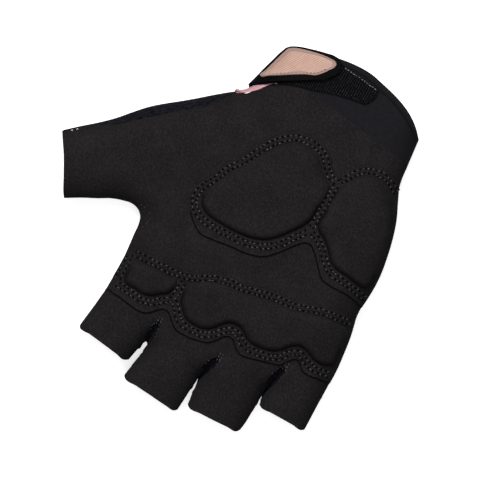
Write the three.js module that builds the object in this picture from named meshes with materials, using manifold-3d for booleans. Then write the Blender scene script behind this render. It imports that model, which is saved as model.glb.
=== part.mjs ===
// Half-finger cycling glove for the right hand, lying palm up.
// X runs from the thumb side to the little finger side, Y from the fingers to the wrist, Z up.
// Everything is in millimetres. Each table row holds shares of the named sizes.
import * as THREE from "three";
import { mergeVertices } from "three/addons/utils/BufferGeometryUtils.js";
import Module from "manifold-3d";

const wasm = await Module();
wasm.setup();

// Driving sizes of the hand part
const knuckle_width = 100;
const wrist_width = 66;
const palm_length = 100;
const cuff_length = 22;
const finger_length = 37;
const thumb_reach = 47;

// Depths of the filled-out glove above the surface that it lies on
const palm_depth = 25.5;
const finger_depth = 18;
const thumb_depth = 19;
const seam_height = 8;
const back_seam_height = 4;

// Roundness of the sides
const palm_roll = 15;
const thumb_roll = 14.5;
const finger_roll = 12.5;
const upper_roundness = 2.1;
const lower_roundness = 3;

// Cloth and clearances
const wall = 1.4;
const gap = 0.3;
const overlay_thickness = 0.9;
const pad_rise = 2.6;
const loop_thickness = 1.1;
const strap_thickness = 1.5;
const inlay_thickness = 0.6;
const trim_thickness = 0.7;

// Strips between the fingers
const fourchette_half_width = 4.6;
const fourchette_top = 12;
const gusset_drop = 3;

// Fineness of the faceted surfaces
const roll_steps = 5;
const palm_middle_steps = 7;
const thumb_middle_steps = 2;
const outline_steps = 2;
const pad_columns = 14;
const pad_rows = 6;
const weld = 1e-4;

// A side's roll takes up to this share of half the section's width
const fullest_roll = 0.98;

// A pad's blank goes this far under the skin before it is cut to it
const pad_root = palm_depth / 4;

// Cuff, one row for each section down from the wrist hem: left and right are shares of the wrist width,
// left_up and right_up of the palm length above the finger creases, and cuff of the cuff length.
// bow: how far the middle of a section lies above its ends, a share of the palm length.
// depth: share of the palm depth.
const cuff_rows = [
  { left: -0.4, right: 0.545, left_up: 1, right_up: 0.98, cuff: 0.57, bow: 0.103, depth: 0.84 },
  { left: -0.42, right: 0.562, left_up: 1, right_up: 0.99, cuff: 0.3, bow: 0.06, depth: 0.86 },
  { left: -0.448, right: 0.58, left_up: 0.98, right_up: 0.97, cuff: 0, bow: 0.02, depth: 0.88 },
];

// Palm, in the same way down to the crotches of the fingers. Its left and right are shares of the
// knuckle width.
// nose: 1 where the section closes the web between the fingers.
const palm_rows = [
  { left: -0.318, right: 0.394, left_up: 0.91, right_up: 0.91, bow: 0.005, depth: 0.91, nose: 0 },
  { left: -0.395, right: 0.423, left_up: 0.83, right_up: 0.83, bow: 0, depth: 0.95, nose: 0 },
  { left: -0.48, right: 0.463, left_up: 0.73, right_up: 0.73, bow: 0, depth: 0.98, nose: 0 },
  { left: -0.56, right: 0.502, left_up: 0.59, right_up: 0.59, bow: 0, depth: 1, nose: 0 },
  { left: -0.58, right: 0.517, left_up: 0.45, right_up: 0.45, bow: 0, depth: 1, nose: 0 },
  { left: -0.53, right: 0.513, left_up: 0.35, right_up: 0.35, bow: 0, depth: 0.98, nose: 0 },
  { left: -0.458, right: 0.532, left_up: 0.25, right_up: 0.26, bow: 0, depth: 0.94, nose: 0 },
  { left: -0.444, right: 0.553, left_up: 0.15, right_up: 0.16, bow: 0, depth: 0.88, nose: 0 },
  { left: -0.433, right: 0.556, left_up: 0.03, right_up: 0.06, bow: -0.01, depth: 0.8, nose: 0 },
  { left: -0.43, right: 0.553, left_up: -0.02, right_up: 0.01, bow: -0.035, depth: 0.73, nose: 0.3 },
  { left: -0.425, right: 0.549, left_up: -0.07, right_up: -0.02, bow: -0.065, depth: 0.64, nose: 0.7 },
  { left: -0.42, right: 0.545, left_up: -0.1, right_up: -0.04, bow: -0.085, depth: 0.52, nose: 1 },
  { left: -0.415, right: 0.54, left_up: -0.115, right_up: -0.05, bow: -0.1, depth: 0.38, nose: 1 },
];

// Thumb, from the mouth to inside the palm. Each section runs from the lower edge to the upper edge.
// out: share of the thumb reach beyond the side of the palm; up: share of the palm length.
const palm_side = -0.445;
const thumb_rows = [
  { lower_out: 0.682, lower_up: 0.158, upper_out: 1, upper_up: 0.39, depth: 0.95 },
  { lower_out: 0.545, lower_up: 0.197, upper_out: 0.865, upper_up: 0.448, depth: 1 },
  { lower_out: 0.425, lower_up: 0.225, upper_out: 0.715, upper_up: 0.51, depth: 1.06 },
  { lower_out: 0.33, lower_up: 0.253, upper_out: 0.545, upper_up: 0.597, depth: 1.12 },
  { lower_out: 0.225, lower_up: 0.27, upper_out: 0.375, upper_up: 0.68, depth: 1.18 },
  { lower_out: 0.153, lower_up: 0.273, upper_out: 0.2, upper_up: 0.745, depth: 1.23 },
  { lower_out: 0.085, lower_up: 0.268, upper_out: 0.03, upper_up: 0.817, depth: 1.26 },
  { lower_out: 0.024, lower_up: 0.242, upper_out: -0.14, upper_up: 0.88, depth: 1.27 },
  { lower_out: -0.012, lower_up: 0.19, upper_out: -0.27, upper_up: 0.91, depth: 1.26 },
  { lower_out: -0.15, lower_up: 0.13, upper_out: -0.48, upper_up: 0.87, depth: 1.22 },
];

// Fingers: x as shares of the knuckle width, down as shares of the finger length below the finger creases.
const finger_rows = {
  index: [
    { left: -0.415, left_down: -0.3, right: -0.165, right_down: -0.3, depth: 0.96 },
    { left: -0.434, left_down: 0.14, right: -0.175, right_down: 0.14, depth: 1 },
    { left: -0.439, left_down: 0.41, right: -0.188, right_down: 0.42, depth: 0.98 },
    { left: -0.446, left_down: 0.6, right: -0.197, right_down: 0.62, depth: 0.95 },
    { left: -0.45, left_down: 0.738, right: -0.213, right_down: 0.803, depth: 0.92 },
  ],
  middle: [
    { left: -0.175, left_down: -0.3, right: 0.085, right_down: -0.3, depth: 0.96 },
    { left: -0.173, left_down: 0.2, right: 0.08, right_down: 0.2, depth: 1 },
    { left: -0.167, left_down: 0.51, right: 0.076, right_down: 0.53, depth: 0.98 },
    { left: -0.176, left_down: 0.73, right: 0.074, right_down: 0.74, depth: 0.95 },
    { left: -0.188, left_down: 0.968, right: 0.068, right_down: 1.01, depth: 0.92 },
  ],
  ring: [
    { left: 0.091, left_down: -0.3, right: 0.34, right_down: -0.3, depth: 0.96 },
    { left: 0.091, left_down: 0.19, right: 0.34, right_down: 0.16, depth: 1 },
    { left: 0.088, left_down: 0.54, right: 0.339, right_down: 0.51, depth: 0.98 },
    { left: 0.09, left_down: 0.7, right: 0.338, right_down: 0.68, depth: 0.95 },
    { left: 0.098, left_down: 0.895, right: 0.332, right_down: 0.862, depth: 0.92 },
  ],
  little: [
    { left: 0.347, left_down: -0.5, right: 0.54, right_down: -0.5, depth: 0.92 },
    { left: 0.346, left_down: -0.08, right: 0.554, right_down: -0.08, depth: 0.96 },
    { left: 0.345, left_down: 0.24, right: 0.56, right_down: 0.24, depth: 0.94 },
    { left: 0.35, left_down: 0.5, right: 0.56, right_down: 0.49, depth: 0.9 },
  ],
};

// Middle lines of the gaps between the fingers, in the same shares as the fingers.
const finger_gaps = {
  fourchette_index_middle: { top: -0.175, top_down: 0.2, foot: -0.2, foot_down: 1.15 },
  fourchette_middle_ring: { top: 0.084, top_down: 0.2, foot: 0.083, foot_down: 1.15 },
  fourchette_ring_little: { top: 0.343, top_down: 0.02, foot: 0.342, foot_down: 1.15 },
};

// Outlines in shares of the knuckle width across and of the palm length up from the finger creases.
const cuff_seam = [
  { across: -0.7, up: 0.92 },
  { across: -0.36, up: 0.92 },
  { across: -0.335, up: 0.925 },
  { across: -0.3, up: 0.95 },
  { across: -0.255, up: 0.993 },
  { across: -0.2, up: 1.01 },
  { across: -0.104, up: 1.035 },
  { across: 0, up: 1.02 },
  { across: 0.12, up: 1.005 },
  { across: 0.7, up: 0.965 },
];
const gusset_seam = [
  { across: -0.84, up: 0.45 },
  { across: -0.807, up: 0.47 },
  { across: -0.75, up: 0.508 },
  { across: -0.7, up: 0.545 },
  { across: -0.607, up: 0.632 },
  { across: -0.495, up: 0.729 },
  { across: -0.436, up: 0.779 },
  { across: -0.398, up: 0.83 },
  { across: -0.37, up: 0.93 },
];
const heel_overlay_outline = [
  { across: -0.32, up: 0.43 },
  { across: -0.295, up: 0.36 },
  { across: -0.212, up: 0.308 },
  { across: -0.1, up: 0.323 },
  { across: 0.004, up: 0.335 },
  { across: 0.058, up: 0.355 },
  { across: 0.104, up: 0.401 },
  { across: 0.158, up: 0.47 },
  { across: 0.195, up: 0.497 },
  { across: 0.227, up: 0.478 },
  { across: 0.28, up: 0.424 },
  { across: 0.312, up: 0.393 },
  { across: 0.37, up: 0.387 },
  { across: 0.46, up: 0.39 },
  { across: 0.62, up: 0.375 },
  { across: 0.62, up: 0.86 },
  { across: 0.4, up: 0.87 },
  { across: 0.319, up: 0.89 },
  { across: 0.25, up: 0.88 },
  { across: 0.2, up: 0.83 },
  { across: 0.16, up: 0.782 },
  { across: 0.12, up: 0.805 },
  { across: 0.08, up: 0.85 },
  { across: 0.012, up: 0.865 },
  { across: -0.07, up: 0.852 },
  { across: -0.138, up: 0.797 },
  { across: -0.175, up: 0.732 },
  { across: -0.258, up: 0.59 },
  { across: -0.305, up: 0.49 },
];
const knuckle_overlay_outline = [
  { across: -0.43, up: 0.1 },
  { across: -0.425, up: -0.075 },
  { across: -0.35, up: -0.082 },
  { across: -0.27, up: -0.092 },
  { across: -0.225, up: -0.07 },
  { across: -0.18, up: -0.033 },
  { across: -0.14, up: -0.05 },
  { across: -0.09, up: -0.083 },
  { across: 0, up: -0.074 },
  { across: 0.045, up: -0.055 },
  { across: 0.08, up: -0.01 },
  { across: 0.11, up: 0.003 },
  { across: 0.16, up: -0.03 },
  { across: 0.2, up: -0.036 },
  { across: 0.31, up: -0.004 },
  { across: 0.355, up: 0.025 },
  { across: 0.39, up: 0.06 },
  { across: 0.425, up: 0.032 },
  { across: 0.64, up: 0.04 },
  { across: 0.64, up: 0.29 },
  { across: 0.5, up: 0.3 },
  { across: 0.35, up: 0.28 },
  { across: 0.25, up: 0.248 },
  { across: 0, up: 0.205 },
  { across: -0.08, up: 0.18 },
  { across: -0.165, up: 0.128 },
  { across: -0.3, up: 0.12 },
];

// Padded cells: an upper and a lower edge with matching points, in the same shares.
const pads = {
  heel_centre_pad: [
    { across: -0.255, high: 0.56, low: 0.43 },
    { across: -0.19, high: 0.68, low: 0.385 },
    { across: -0.12, high: 0.77, low: 0.382 },
    { across: -0.05, high: 0.823, low: 0.39 },
    { across: 0.02, high: 0.825, low: 0.405 },
    { across: 0.08, high: 0.785, low: 0.455 },
    { across: 0.135, high: 0.735, low: 0.54 },
  ],
  heel_outer_pad: [
    { across: 0.215, high: 0.735, low: 0.555 },
    { across: 0.26, high: 0.825, low: 0.51 },
    { across: 0.315, high: 0.845, low: 0.462 },
    { across: 0.36, high: 0.83, low: 0.458 },
    { across: 0.41, high: 0.76, low: 0.458 },
    { across: 0.455, high: 0.66, low: 0.465 },
    { across: 0.485, high: 0.56, low: 0.48 },
  ],
  index_pad: [
    { across: -0.385, high: 0.06, low: -0.01 },
    { across: -0.35, high: 0.08, low: -0.02 },
    { across: -0.3, high: 0.085, low: -0.022 },
    { across: -0.255, high: 0.086, low: -0.01 },
    { across: -0.215, high: 0.08, low: 0.025 },
    { across: -0.19, high: 0.068, low: 0.045 },
  ],
  finger_pad: [
    { across: -0.145, high: 0.095, low: 0.035 },
    { across: -0.11, high: 0.13, low: -0.01 },
    { across: -0.05, high: 0.158, low: -0.02 },
    { across: 0.01, high: 0.175, low: -0.01 },
    { across: 0.06, high: 0.183, low: 0.045 },
    { across: 0.11, high: 0.193, low: 0.065 },
    { across: 0.18, high: 0.208, low: 0.028 },
    { across: 0.25, high: 0.222, low: 0.03 },
    { across: 0.32, high: 0.24, low: 0.055 },
    { across: 0.38, high: 0.26, low: 0.11 },
    { across: 0.44, high: 0.265, low: 0.11 },
    { across: 0.5, high: 0.262, low: 0.115 },
  ],
};

// Closure at the wrist, in shares of the wrist width across and of the cuff length above the palm.
const loop_outline = [
  { across: -0.75, up: -0.3 },
  { across: -0.42, up: -0.05 },
  { across: -0.235, up: 0.16 },
  { across: -0.155, up: 0.2 },
  { across: -0.03, up: 0.33 },
  { across: 0.06, up: 0.4 },
  { across: 0.16, up: 0.45 },
  { across: 0.2, up: 0.65 },
  { across: 0.2, up: 0.82 },
  { across: -0.07, up: 0.86 },
  { across: -0.75, up: 0.75 },
];
const strap_outline = [
  { across: -0.75, up: -0.7 },
  { across: -0.53, up: -0.29 },
  { across: -0.4, up: -0.03 },
  { across: -0.297, up: 0.16 },
  { across: -0.17, up: 0.38 },
  { across: -0.11, up: 0.56 },
  { across: -0.092, up: 0.77 },
  { across: -0.12, up: 0.93 },
  { across: -0.215, up: 0.885 },
  { across: -0.33, up: 0.8 },
  { across: -0.42, up: 0.66 },
  { across: -0.75, up: 0.5 },
];
const inlay_outline = [
  { across: -0.47, up: -0.03 },
  { across: -0.4, up: 0.09 },
  { across: -0.3, up: 0.27 },
  { across: -0.18, up: 0.46 },
  { across: -0.135, up: 0.64 },
  { across: -0.12, up: 0.77 },
  { across: -0.14, up: 0.84 },
  { across: -0.23, up: 0.8 },
  { across: -0.31, up: 0.73 },
  { across: -0.4, up: 0.6 },
  { across: -0.42, up: 0.5 },
];
const trim_outline = [
  { across: -0.62, up: -0.53 },
  { across: -0.52, up: -0.47 },
  { across: -0.46, up: -0.3 },
  { across: -0.4, up: -0.06 },
  { across: -0.46, up: -0.14 },
  { across: -0.56, up: -0.36 },
];

// Height that the closure is carried down to, round the thumb side
const strap_foot = 3.2;

// Places in the shared outline frame
function palmPoint({ across, up }) {
  return new THREE.Vector2(across * knuckle_width, up * palm_length);
}

function cuffPoint({ across, up }) {
  return new THREE.Vector2(across * wrist_width, palm_length + up * cuff_length);
}

// A section across the glove: two edge points in plan and the heights between them.
function cuffSection(row) {
  const lift = row.cuff * cuff_length;
  return {
    start: new THREE.Vector2(row.left * wrist_width, row.left_up * palm_length + lift),
    end: new THREE.Vector2(row.right * wrist_width, row.right_up * palm_length + lift),
    bow: row.bow * palm_length,
    top: row.depth * palm_depth,
    roll: palm_roll,
  };
}

function palmSection(row, grow) {
  const drop = grow * row.nose;
  return {
    start: new THREE.Vector2(row.left * knuckle_width, row.left_up * palm_length - drop),
    end: new THREE.Vector2(row.right * knuckle_width, row.right_up * palm_length - drop),
    bow: row.bow * palm_length,
    top: row.depth * palm_depth,
    roll: palm_roll,
  };
}

function thumbSection(row) {
  const side = palm_side * knuckle_width;
  return {
    start: new THREE.Vector2(side - row.upper_out * thumb_reach, row.upper_up * palm_length),
    end: new THREE.Vector2(side - row.lower_out * thumb_reach, row.lower_up * palm_length),
    bow: 0,
    top: row.depth * thumb_depth,
    roll: thumb_roll,
  };
}

function fingerSection(row) {
  return {
    start: new THREE.Vector2(row.left * knuckle_width, -row.left_down * finger_length),
    end: new THREE.Vector2(row.right * knuckle_width, -row.right_down * finger_length),
    bow: 0,
    top: row.depth * finger_depth,
    roll: finger_roll,
  };
}

// Height of a rounded side at a share of its roll, from 0 at the edge to 1 past the roll.
function rounded(share, roundness) {
  const inward = 1 - Math.min(share, 1);
  return (1 - inward ** roundness) ** (1 / roundness);
}

// Points of one closed section, grown outwards by the given distance:
// over the top from the start edge to the end edge, then back along the underside.
// It bows as a parabola, four times a share and the rest of it, which is 1 in the middle.
function sectionRing(section, middleSteps, grow) {
  const along = section.end.clone().sub(section.start);
  const half = along.length() / 2 + grow;
  along.normalize();
  const across = new THREE.Vector2(-along.y, along.x);
  if (across.y < 0) across.negate();
  const centre = section.start.clone().add(section.end).multiplyScalar(0.5);
  const roll = Math.min(section.roll + grow, half * fullest_roll);
  const distances = [];
  for (let i = 0; i <= roll_steps; i++) {
    distances.push(roll * (1 - Math.cos((Math.PI / 2) * (i / roll_steps))));
  }
  for (let i = 1; i <= middleSteps; i++) {
    distances.push(roll + (2 * half - 2 * roll) * (i / (middleSteps + 1)));
  }
  for (let i = roll_steps; i >= 0; i--) {
    distances.push(2 * half - distances[i]);
  }
  const top = [];
  const bottom = [];
  for (const distance of distances) {
    const side = Math.min(distance, 2 * half - distance) / roll;
    const share = distance / (2 * half);
    const place = centre.clone().addScaledVector(along, distance - half);
    place.addScaledVector(across, section.bow * 4 * share * (1 - share));
    const rise = (section.top - seam_height + grow) * rounded(side, upper_roundness);
    const fall = (seam_height + grow) * rounded(side, lower_roundness);
    top.push([place.x, place.y, seam_height + rise]);
    bottom.push([place.x, place.y, seam_height - fall]);
  }
  return [...top, ...bottom.slice(1, -1).reverse()];
}

// A closed solid through a list of rings. Its ends are closed by upright strips between top and underside.
function loftSolid(rings) {
  const count = rings[0].length;
  const last = rings.length - 1;
  const positions = rings.flat(2);
  const faces = [];
  for (let r = 0; r < last; r++) {
    for (let j = 0; j < count; j++) {
      const a = r * count + j;
      const b = r * count + ((j + 1) % count);
      faces.push(a, b, b + count, a, b + count, a + count);
    }
  }
  for (const [base, turned] of [[0, false], [last * count, true]]) {
    for (let i = 0; i < count / 2; i++) {
      const corners = [i, i + 1, (count - i - 1) % count, (count - i) % count].map((k) => base + k);
      const [p, q, s, t] = turned ? corners.reverse() : corners;
      if (p !== t && q !== s) faces.push(p, t, s, p, s, q);
      else if (p === t) faces.push(p, s, q);
      else faces.push(p, t, s);
    }
  }
  return solidFrom(new Float32Array(positions), new Uint32Array(faces));
}

function solidFrom(vertProperties, triVerts) {
  let solid = new wasm.Manifold(new wasm.Mesh({ numProp: 3, vertProperties, triVerts }));
  if (solid.volume() < 0) {
    const turned = triVerts.slice();
    for (let i = 0; i < turned.length; i += 3) {
      [turned[i + 1], turned[i + 2]] = [turned[i + 2], turned[i + 1]];
    }
    solid = new wasm.Manifold(new wasm.Mesh({ numProp: 3, vertProperties, triVerts: turned }));
  }
  return solid;
}

// A ring pushed past an open end, in line with the ring before it.
function pushedRing(end, before, distance) {
  const centre = (ring) => ring.reduce((sum, p) => sum.add(new THREE.Vector3(...p)), new THREE.Vector3());
  const step = centre(end).sub(centre(before)).setZ(0).setLength(distance);
  return end.map(([x, y, z]) => [x + step.x, y + step.y, z]);
}

// One limb of the glove as a solid, grown by a distance and pushed past its mouth by another.
function limb(sections, middleSteps, grow, past, mouthFirst) {
  const rings = sections.map((section) => sectionRing(section, middleSteps, grow));
  if (past > 0 && mouthFirst) rings.unshift(pushedRing(rings[0], rings[1], past));
  if (past > 0 && !mouthFirst) rings.push(pushedRing(rings.at(-1), rings.at(-2), past));
  return loftSolid(rings);
}

// The whole glove as a solid, its skin moved outwards by grow.
const bodies = new Map();
function body(grow) {
  if (bodies.has(grow)) return bodies.get(grow);
  const past = grow < 0 ? palm_roll : 0;
  const palm_sections = palm_rows.map((row) => palmSection(row, grow));
  const cuff_and_palm = [...cuff_rows.map(cuffSection), ...palm_sections];
  let whole = limb(cuff_and_palm, palm_middle_steps, grow, past, true);
  whole = whole.add(limb(thumb_rows.map(thumbSection), thumb_middle_steps, grow, past, true));
  for (const rows of Object.values(finger_rows)) {
    whole = whole.add(limb(rows.map(fingerSection), 0, grow, past, false));
  }
  bodies.set(grow, whole);
  return whole;
}

// An upright prism over an outline in plan.
function prism(points, low, high) {
  const geometry = new THREE.ExtrudeGeometry(new THREE.Shape(points), {
    depth: high - low,
    bevelEnabled: false,
  });
  geometry.translate(0, 0, low);
  geometry.deleteAttribute("normal");
  geometry.deleteAttribute("uv");
  const merged = mergeVertices(geometry, weld);
  return solidFrom(merged.attributes.position.array, new Uint32Array(merged.index.array));
}

function smoothOutline(points) {
  const places = points.map((p) => new THREE.Vector3(p.x, p.y, 0));
  const curve = new THREE.CatmullRomCurve3(places, true, "centripetal");
  const count = points.length * outline_steps;
  return curve.getPoints(count).slice(0, count).map((p) => new THREE.Vector2(p.x, p.y));
}

// A layer that follows the glove between two distances from its skin, over an outline in plan.
function layer(points, inner, outer, low) {
  return prism(points, low, sky).intersect(body(outer)).subtract(body(inner));
}

// Height of the glove's upper surface, grown by a distance, at a place in plan.
const skins = new Map();
function skinHeight(x, y, grow) {
  if (!skins.has(grow)) {
    skins.set(grow, new THREE.Mesh(geometryOf(body(grow)), new THREE.MeshBasicMaterial()));
  }
  const ray = new THREE.Raycaster(new THREE.Vector3(x, y, sky), new THREE.Vector3(0, 0, -1));
  const hits = ray.intersectObject(skins.get(grow));
  return hits.length ? hits[0].point.z : seam_height;
}

function geometryOf(solid) {
  const mesh = solid.getMesh();
  const geometry = new THREE.BufferGeometry();
  geometry.setAttribute("position", new THREE.BufferAttribute(mesh.vertProperties, 3));
  geometry.setIndex(new THREE.BufferAttribute(mesh.triVerts, 1));
  geometry.computeVertexNormals();
  return geometry;
}

// A padded cell: a crowned cushion between an upper and a lower edge, seated on the overlay.
function paddedCell(rows) {
  const seat = overlay_thickness + 2 * gap;
  const curve = (key) => {
    const places = rows.map((row) => palmPoint({ across: row.across, up: row[key] }));
    return new THREE.SplineCurve(places).getPoints(pad_columns);
  };
  const high = curve("high");
  const low = curve("low");
  const rings = high.map((upper, i) => {
    const lower = low[i];
    const endShare = Math.sqrt(Math.sin(Math.PI * (i / pad_columns)));
    const top = [];
    const under = [];
    for (let j = 0; j <= pad_rows; j++) {
      const share = (1 - Math.cos(Math.PI * (j / pad_rows))) / 2;
      const place = lower.clone().lerp(upper, share);
      const crown = Math.sqrt(Math.sin(Math.PI * share)) * endShare;
      const skin = skinHeight(place.x, place.y, seat);
      top.push([place.x, place.y, skin + overlay_thickness + (pad_rise - overlay_thickness) * crown]);
      under.push([place.x, place.y, skin - pad_root]);
    }
    return [...top, ...under.reverse()];
  });
  return boxedLoft(rings).intersect(body(seat + pad_rise)).subtract(body(seat));
}

// A closed solid through rings whose upper and lower runs are parted at both sides.
function boxedLoft(rings) {
  const count = rings[0].length;
  const last = rings.length - 1;
  const faces = [];
  for (let r = 0; r < last; r++) {
    for (let j = 0; j < count; j++) {
      const a = r * count + j;
      const b = r * count + ((j + 1) % count);
      faces.push(a, b, b + count, a, b + count, a + count);
    }
  }
  for (let i = 0; i < count / 2 - 1; i++) {
    const quad = [i, i + 1, count - i - 2, count - i - 1];
    const end = quad.map((k) => last * count + k);
    faces.push(quad[0], quad[2], quad[1], quad[0], quad[3], quad[2]);
    faces.push(end[0], end[1], end[2], end[0], end[2], end[3]);
  }
  return solidFrom(new Float32Array(rings.flat(2)), new Uint32Array(faces));
}

// The skin of the glove, and heights and a reach beyond it that cutting shapes go to
const shell = body(0).subtract(body(-wall));
const far = knuckle_width * 2;
const sky = palm_depth * 2;
const ground = -palm_depth;

// The area on the wrist side of a seam; a clearance is added below it and at both of its ends.
function above(points, clearance) {
  const edge = points.map((p) => new THREE.Vector2(p.x, p.y - clearance));
  edge[0].x -= clearance;
  edge.at(-1).x += clearance;
  return [...edge, new THREE.Vector2(edge.at(-1).x, far), new THREE.Vector2(edge[0].x, far)];
}

function slab(low, high) {
  const corners = [[-far, -far], [far, -far], [far, far], [-far, far]];
  return prism(corners.map(([x, y]) => new THREE.Vector2(x, y)), low, high);
}

function fourchetteRegion(place, extra) {
  const top = new THREE.Vector2(place.top * knuckle_width, -place.top_down * finger_length + extra);
  const foot = new THREE.Vector2(place.foot * knuckle_width, -place.foot_down * finger_length);
  const half = fourchette_half_width + extra;
  const points = [
    new THREE.Vector2(top.x - half, top.y - half),
    new THREE.Vector2(top.x - half / 2, top.y),
    new THREE.Vector2(top.x + half / 2, top.y),
    new THREE.Vector2(top.x + half, top.y - half),
    new THREE.Vector2(foot.x + half, foot.y),
    new THREE.Vector2(foot.x - half, foot.y),
  ];
  return prism(points.reverse(), back_seam_height + gap / 2 - extra, fourchette_top + extra);
}

const cuff_edge = cuff_seam.map(palmPoint);
const gusset_edge = gusset_seam.map(palmPoint);
const cuff_region = prism(above(cuff_edge, 0), ground, sky);
const cuff_clearance = prism(above(cuff_edge, gap), ground, sky);
const gusset_foot = seam_height - gusset_drop;
const gusset_region = prism(above(gusset_edge, 0), gusset_foot, sky);
const gusset_clearance = prism(above(gusset_edge, gap * Math.SQRT2), gusset_foot - gap, sky);

const finish = {
  suede: { color: 0x221f20, roughness: 0.95 },
  stretch: { color: 0x17181d, roughness: 0.9 },
  navy: { color: 0x0f0f1c, roughness: 0.85 },
  loop: { color: 0x0b0b0d, roughness: 0.8 },
  strap: { color: 0x151517, roughness: 0.7 },
  inlay: { color: 0xe6b9a3, roughness: 0.8 },
  trim: { color: 0xdca3ac, roughness: 0.8 },
};
const group = new THREE.Group();
function addPiece(name, solid, look) {
  const material = new THREE.MeshStandardMaterial({ metalness: 0, ...look });
  const mesh = new THREE.Mesh(geometryOf(solid), material);
  mesh.name = name;
  group.add(mesh);
}

let palm = shell.intersect(slab(back_seam_height + gap / 2, sky));
let back = shell.intersect(slab(ground, back_seam_height - gap / 2));
for (const [name, place] of Object.entries(finger_gaps)) {
  const clearance = fourchetteRegion(place, gap);
  palm = palm.subtract(clearance);
  addPiece(name, shell.intersect(fourchetteRegion(place, 0)), finish.navy);
}
palm = palm.subtract(cuff_clearance).subtract(gusset_clearance);
back = back.subtract(cuff_clearance).subtract(gusset_clearance);
addPiece("palm_panel", palm, finish.suede);
addPiece("back_panel", back, finish.stretch);
addPiece("cuff", shell.intersect(cuff_region), finish.stretch);
addPiece("thumb_gusset", shell.intersect(gusset_region).subtract(cuff_clearance), finish.navy);

const heel_outline = smoothOutline(heel_overlay_outline.map(palmPoint));
const knuckle_outline = smoothOutline(knuckle_overlay_outline.map(palmPoint));
const overlay_top = gap + overlay_thickness;
addPiece("heel_overlay", layer(heel_outline, gap, overlay_top, seam_height), finish.suede);
addPiece("knuckle_overlay", layer(knuckle_outline, gap, overlay_top, seam_height), finish.suede);
for (const [name, rows] of Object.entries(pads)) {
  addPiece(name, paddedCell(rows), finish.suede);
}

const loop_top = gap + loop_thickness;
const strap_base = loop_top + gap;
const strap_top = strap_base + strap_thickness;
const inlay_base = strap_top + gap;
addPiece("loop_patch", layer(loop_outline.map(cuffPoint), gap, loop_top, strap_foot), finish.loop);
const strap_shape = smoothOutline(strap_outline.map(cuffPoint));
addPiece("closure_strap", layer(strap_shape, strap_base, strap_top, strap_foot), finish.strap);
const inlay_shape = smoothOutline(inlay_outline.map(cuffPoint));
const inlay_top = inlay_base + inlay_thickness;
addPiece("strap_inlay", layer(inlay_shape, inlay_base, inlay_top, strap_foot), finish.inlay);
addPiece("wrist_trim", layer(trim_outline.map(cuffPoint), gap, gap + trim_thickness, seam_height), finish.trim);

// The origin is under the middle of the glove, on the surface that it lies on.
const box = new THREE.Box3().setFromObject(group);
const middle = box.getCenter(new THREE.Vector3());
group.position.set(-middle.x, -middle.y, -box.min.z);

export default group;
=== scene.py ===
import math

import bpy
import numpy as np
from mathutils import Matrix, Vector


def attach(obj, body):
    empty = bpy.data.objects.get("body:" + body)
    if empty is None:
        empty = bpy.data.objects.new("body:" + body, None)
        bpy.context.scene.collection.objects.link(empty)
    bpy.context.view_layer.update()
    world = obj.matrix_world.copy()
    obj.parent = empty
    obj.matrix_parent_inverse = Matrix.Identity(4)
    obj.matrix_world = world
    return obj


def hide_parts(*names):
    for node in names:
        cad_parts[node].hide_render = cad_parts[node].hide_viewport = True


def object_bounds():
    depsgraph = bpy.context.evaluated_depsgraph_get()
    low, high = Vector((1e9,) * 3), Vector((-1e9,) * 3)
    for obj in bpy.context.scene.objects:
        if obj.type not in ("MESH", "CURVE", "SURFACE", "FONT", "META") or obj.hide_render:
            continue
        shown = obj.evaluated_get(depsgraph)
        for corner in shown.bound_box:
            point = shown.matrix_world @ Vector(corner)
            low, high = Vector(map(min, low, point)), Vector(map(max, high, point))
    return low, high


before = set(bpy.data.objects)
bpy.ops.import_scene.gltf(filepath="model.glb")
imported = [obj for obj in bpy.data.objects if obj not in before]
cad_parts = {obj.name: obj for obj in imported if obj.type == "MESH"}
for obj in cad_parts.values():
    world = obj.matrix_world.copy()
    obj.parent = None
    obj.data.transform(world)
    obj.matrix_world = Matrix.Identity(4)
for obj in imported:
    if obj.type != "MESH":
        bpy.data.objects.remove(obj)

# The half-finger glove lies palm up. Shapes are worked out in millimetres in the palm's own plan:
# X from the thumb to the little finger, Y from the fingers to the wrist, Z up from the surface.
MM = 0.001
cad_low, cad_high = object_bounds()

# The glove's frame, in millimetres: two of its tips, its side seam's height and how its sides are rounded
THUMB_TIP_X = -91.5
MIDDLE_TIP_Y = -72.37
FRAME_SHIFT = np.array([cad_low.x / MM - THUMB_TIP_X, cad_low.y / MM - MIDDLE_TIP_Y, 0.0])
SEAM = 8.0
LOWER_ROLL = 12.0
UPPER_ROUND = 2.1
LOWER_ROUND = 3.0
EDGE_SNAP = 0.015
FOLD_START = 9.0
WAVE_HEIGHT = 0.12
WAVE_FADE = 6.0

# Thickness of each cloth, and the height of what lies on the palm
SUEDE = 1.1
STRETCH = 1.0
CUFF = 1.5
FOURCHETTE = 0.7
TRIM = 1.0
OVERLAY = 1.0
OVERLAY_GAP = 0.2
LOOP = 1.1
LOOP_GAP = 0.1
STRAP = 1.5
STRAP_BASE = 1.5
STRAP_TOP = STRAP_BASE + STRAP

# Edges of the second layers: the cut face, a painted shadow along its lower border and lighter painted shade
# along the upper one
CUT_WIDTH = 0.5
CUT_LIP = 0.1
CUT_FOOT = 0.1
FAR_CUT_PAINTED_SHADE = 0.35
EVEN_SHARE = 0.6

# Pads: their rise, the shoulder that takes most of it, the slow crown inside and the painted shade along
# their lower edge
PAD_RISE = 3.0
PAD_UNDER = 0.5
SHOULDER = 2.8
SHOULDER_SHARE = 0.8
CROWN_REACH = 14.0
GROOVE_REACH = 2.4
GROOVE_PAINTED_SHADE = 0.95

# Hem line of the cuff, with painted shade in its groove
HEM_WIDTH = 2.6
HEM_LINE = 0.45
HEM_DEPTH = 0.35
HEM_PAINTED_SHADE = 0.6
HEM_FADE = 2.0

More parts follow.
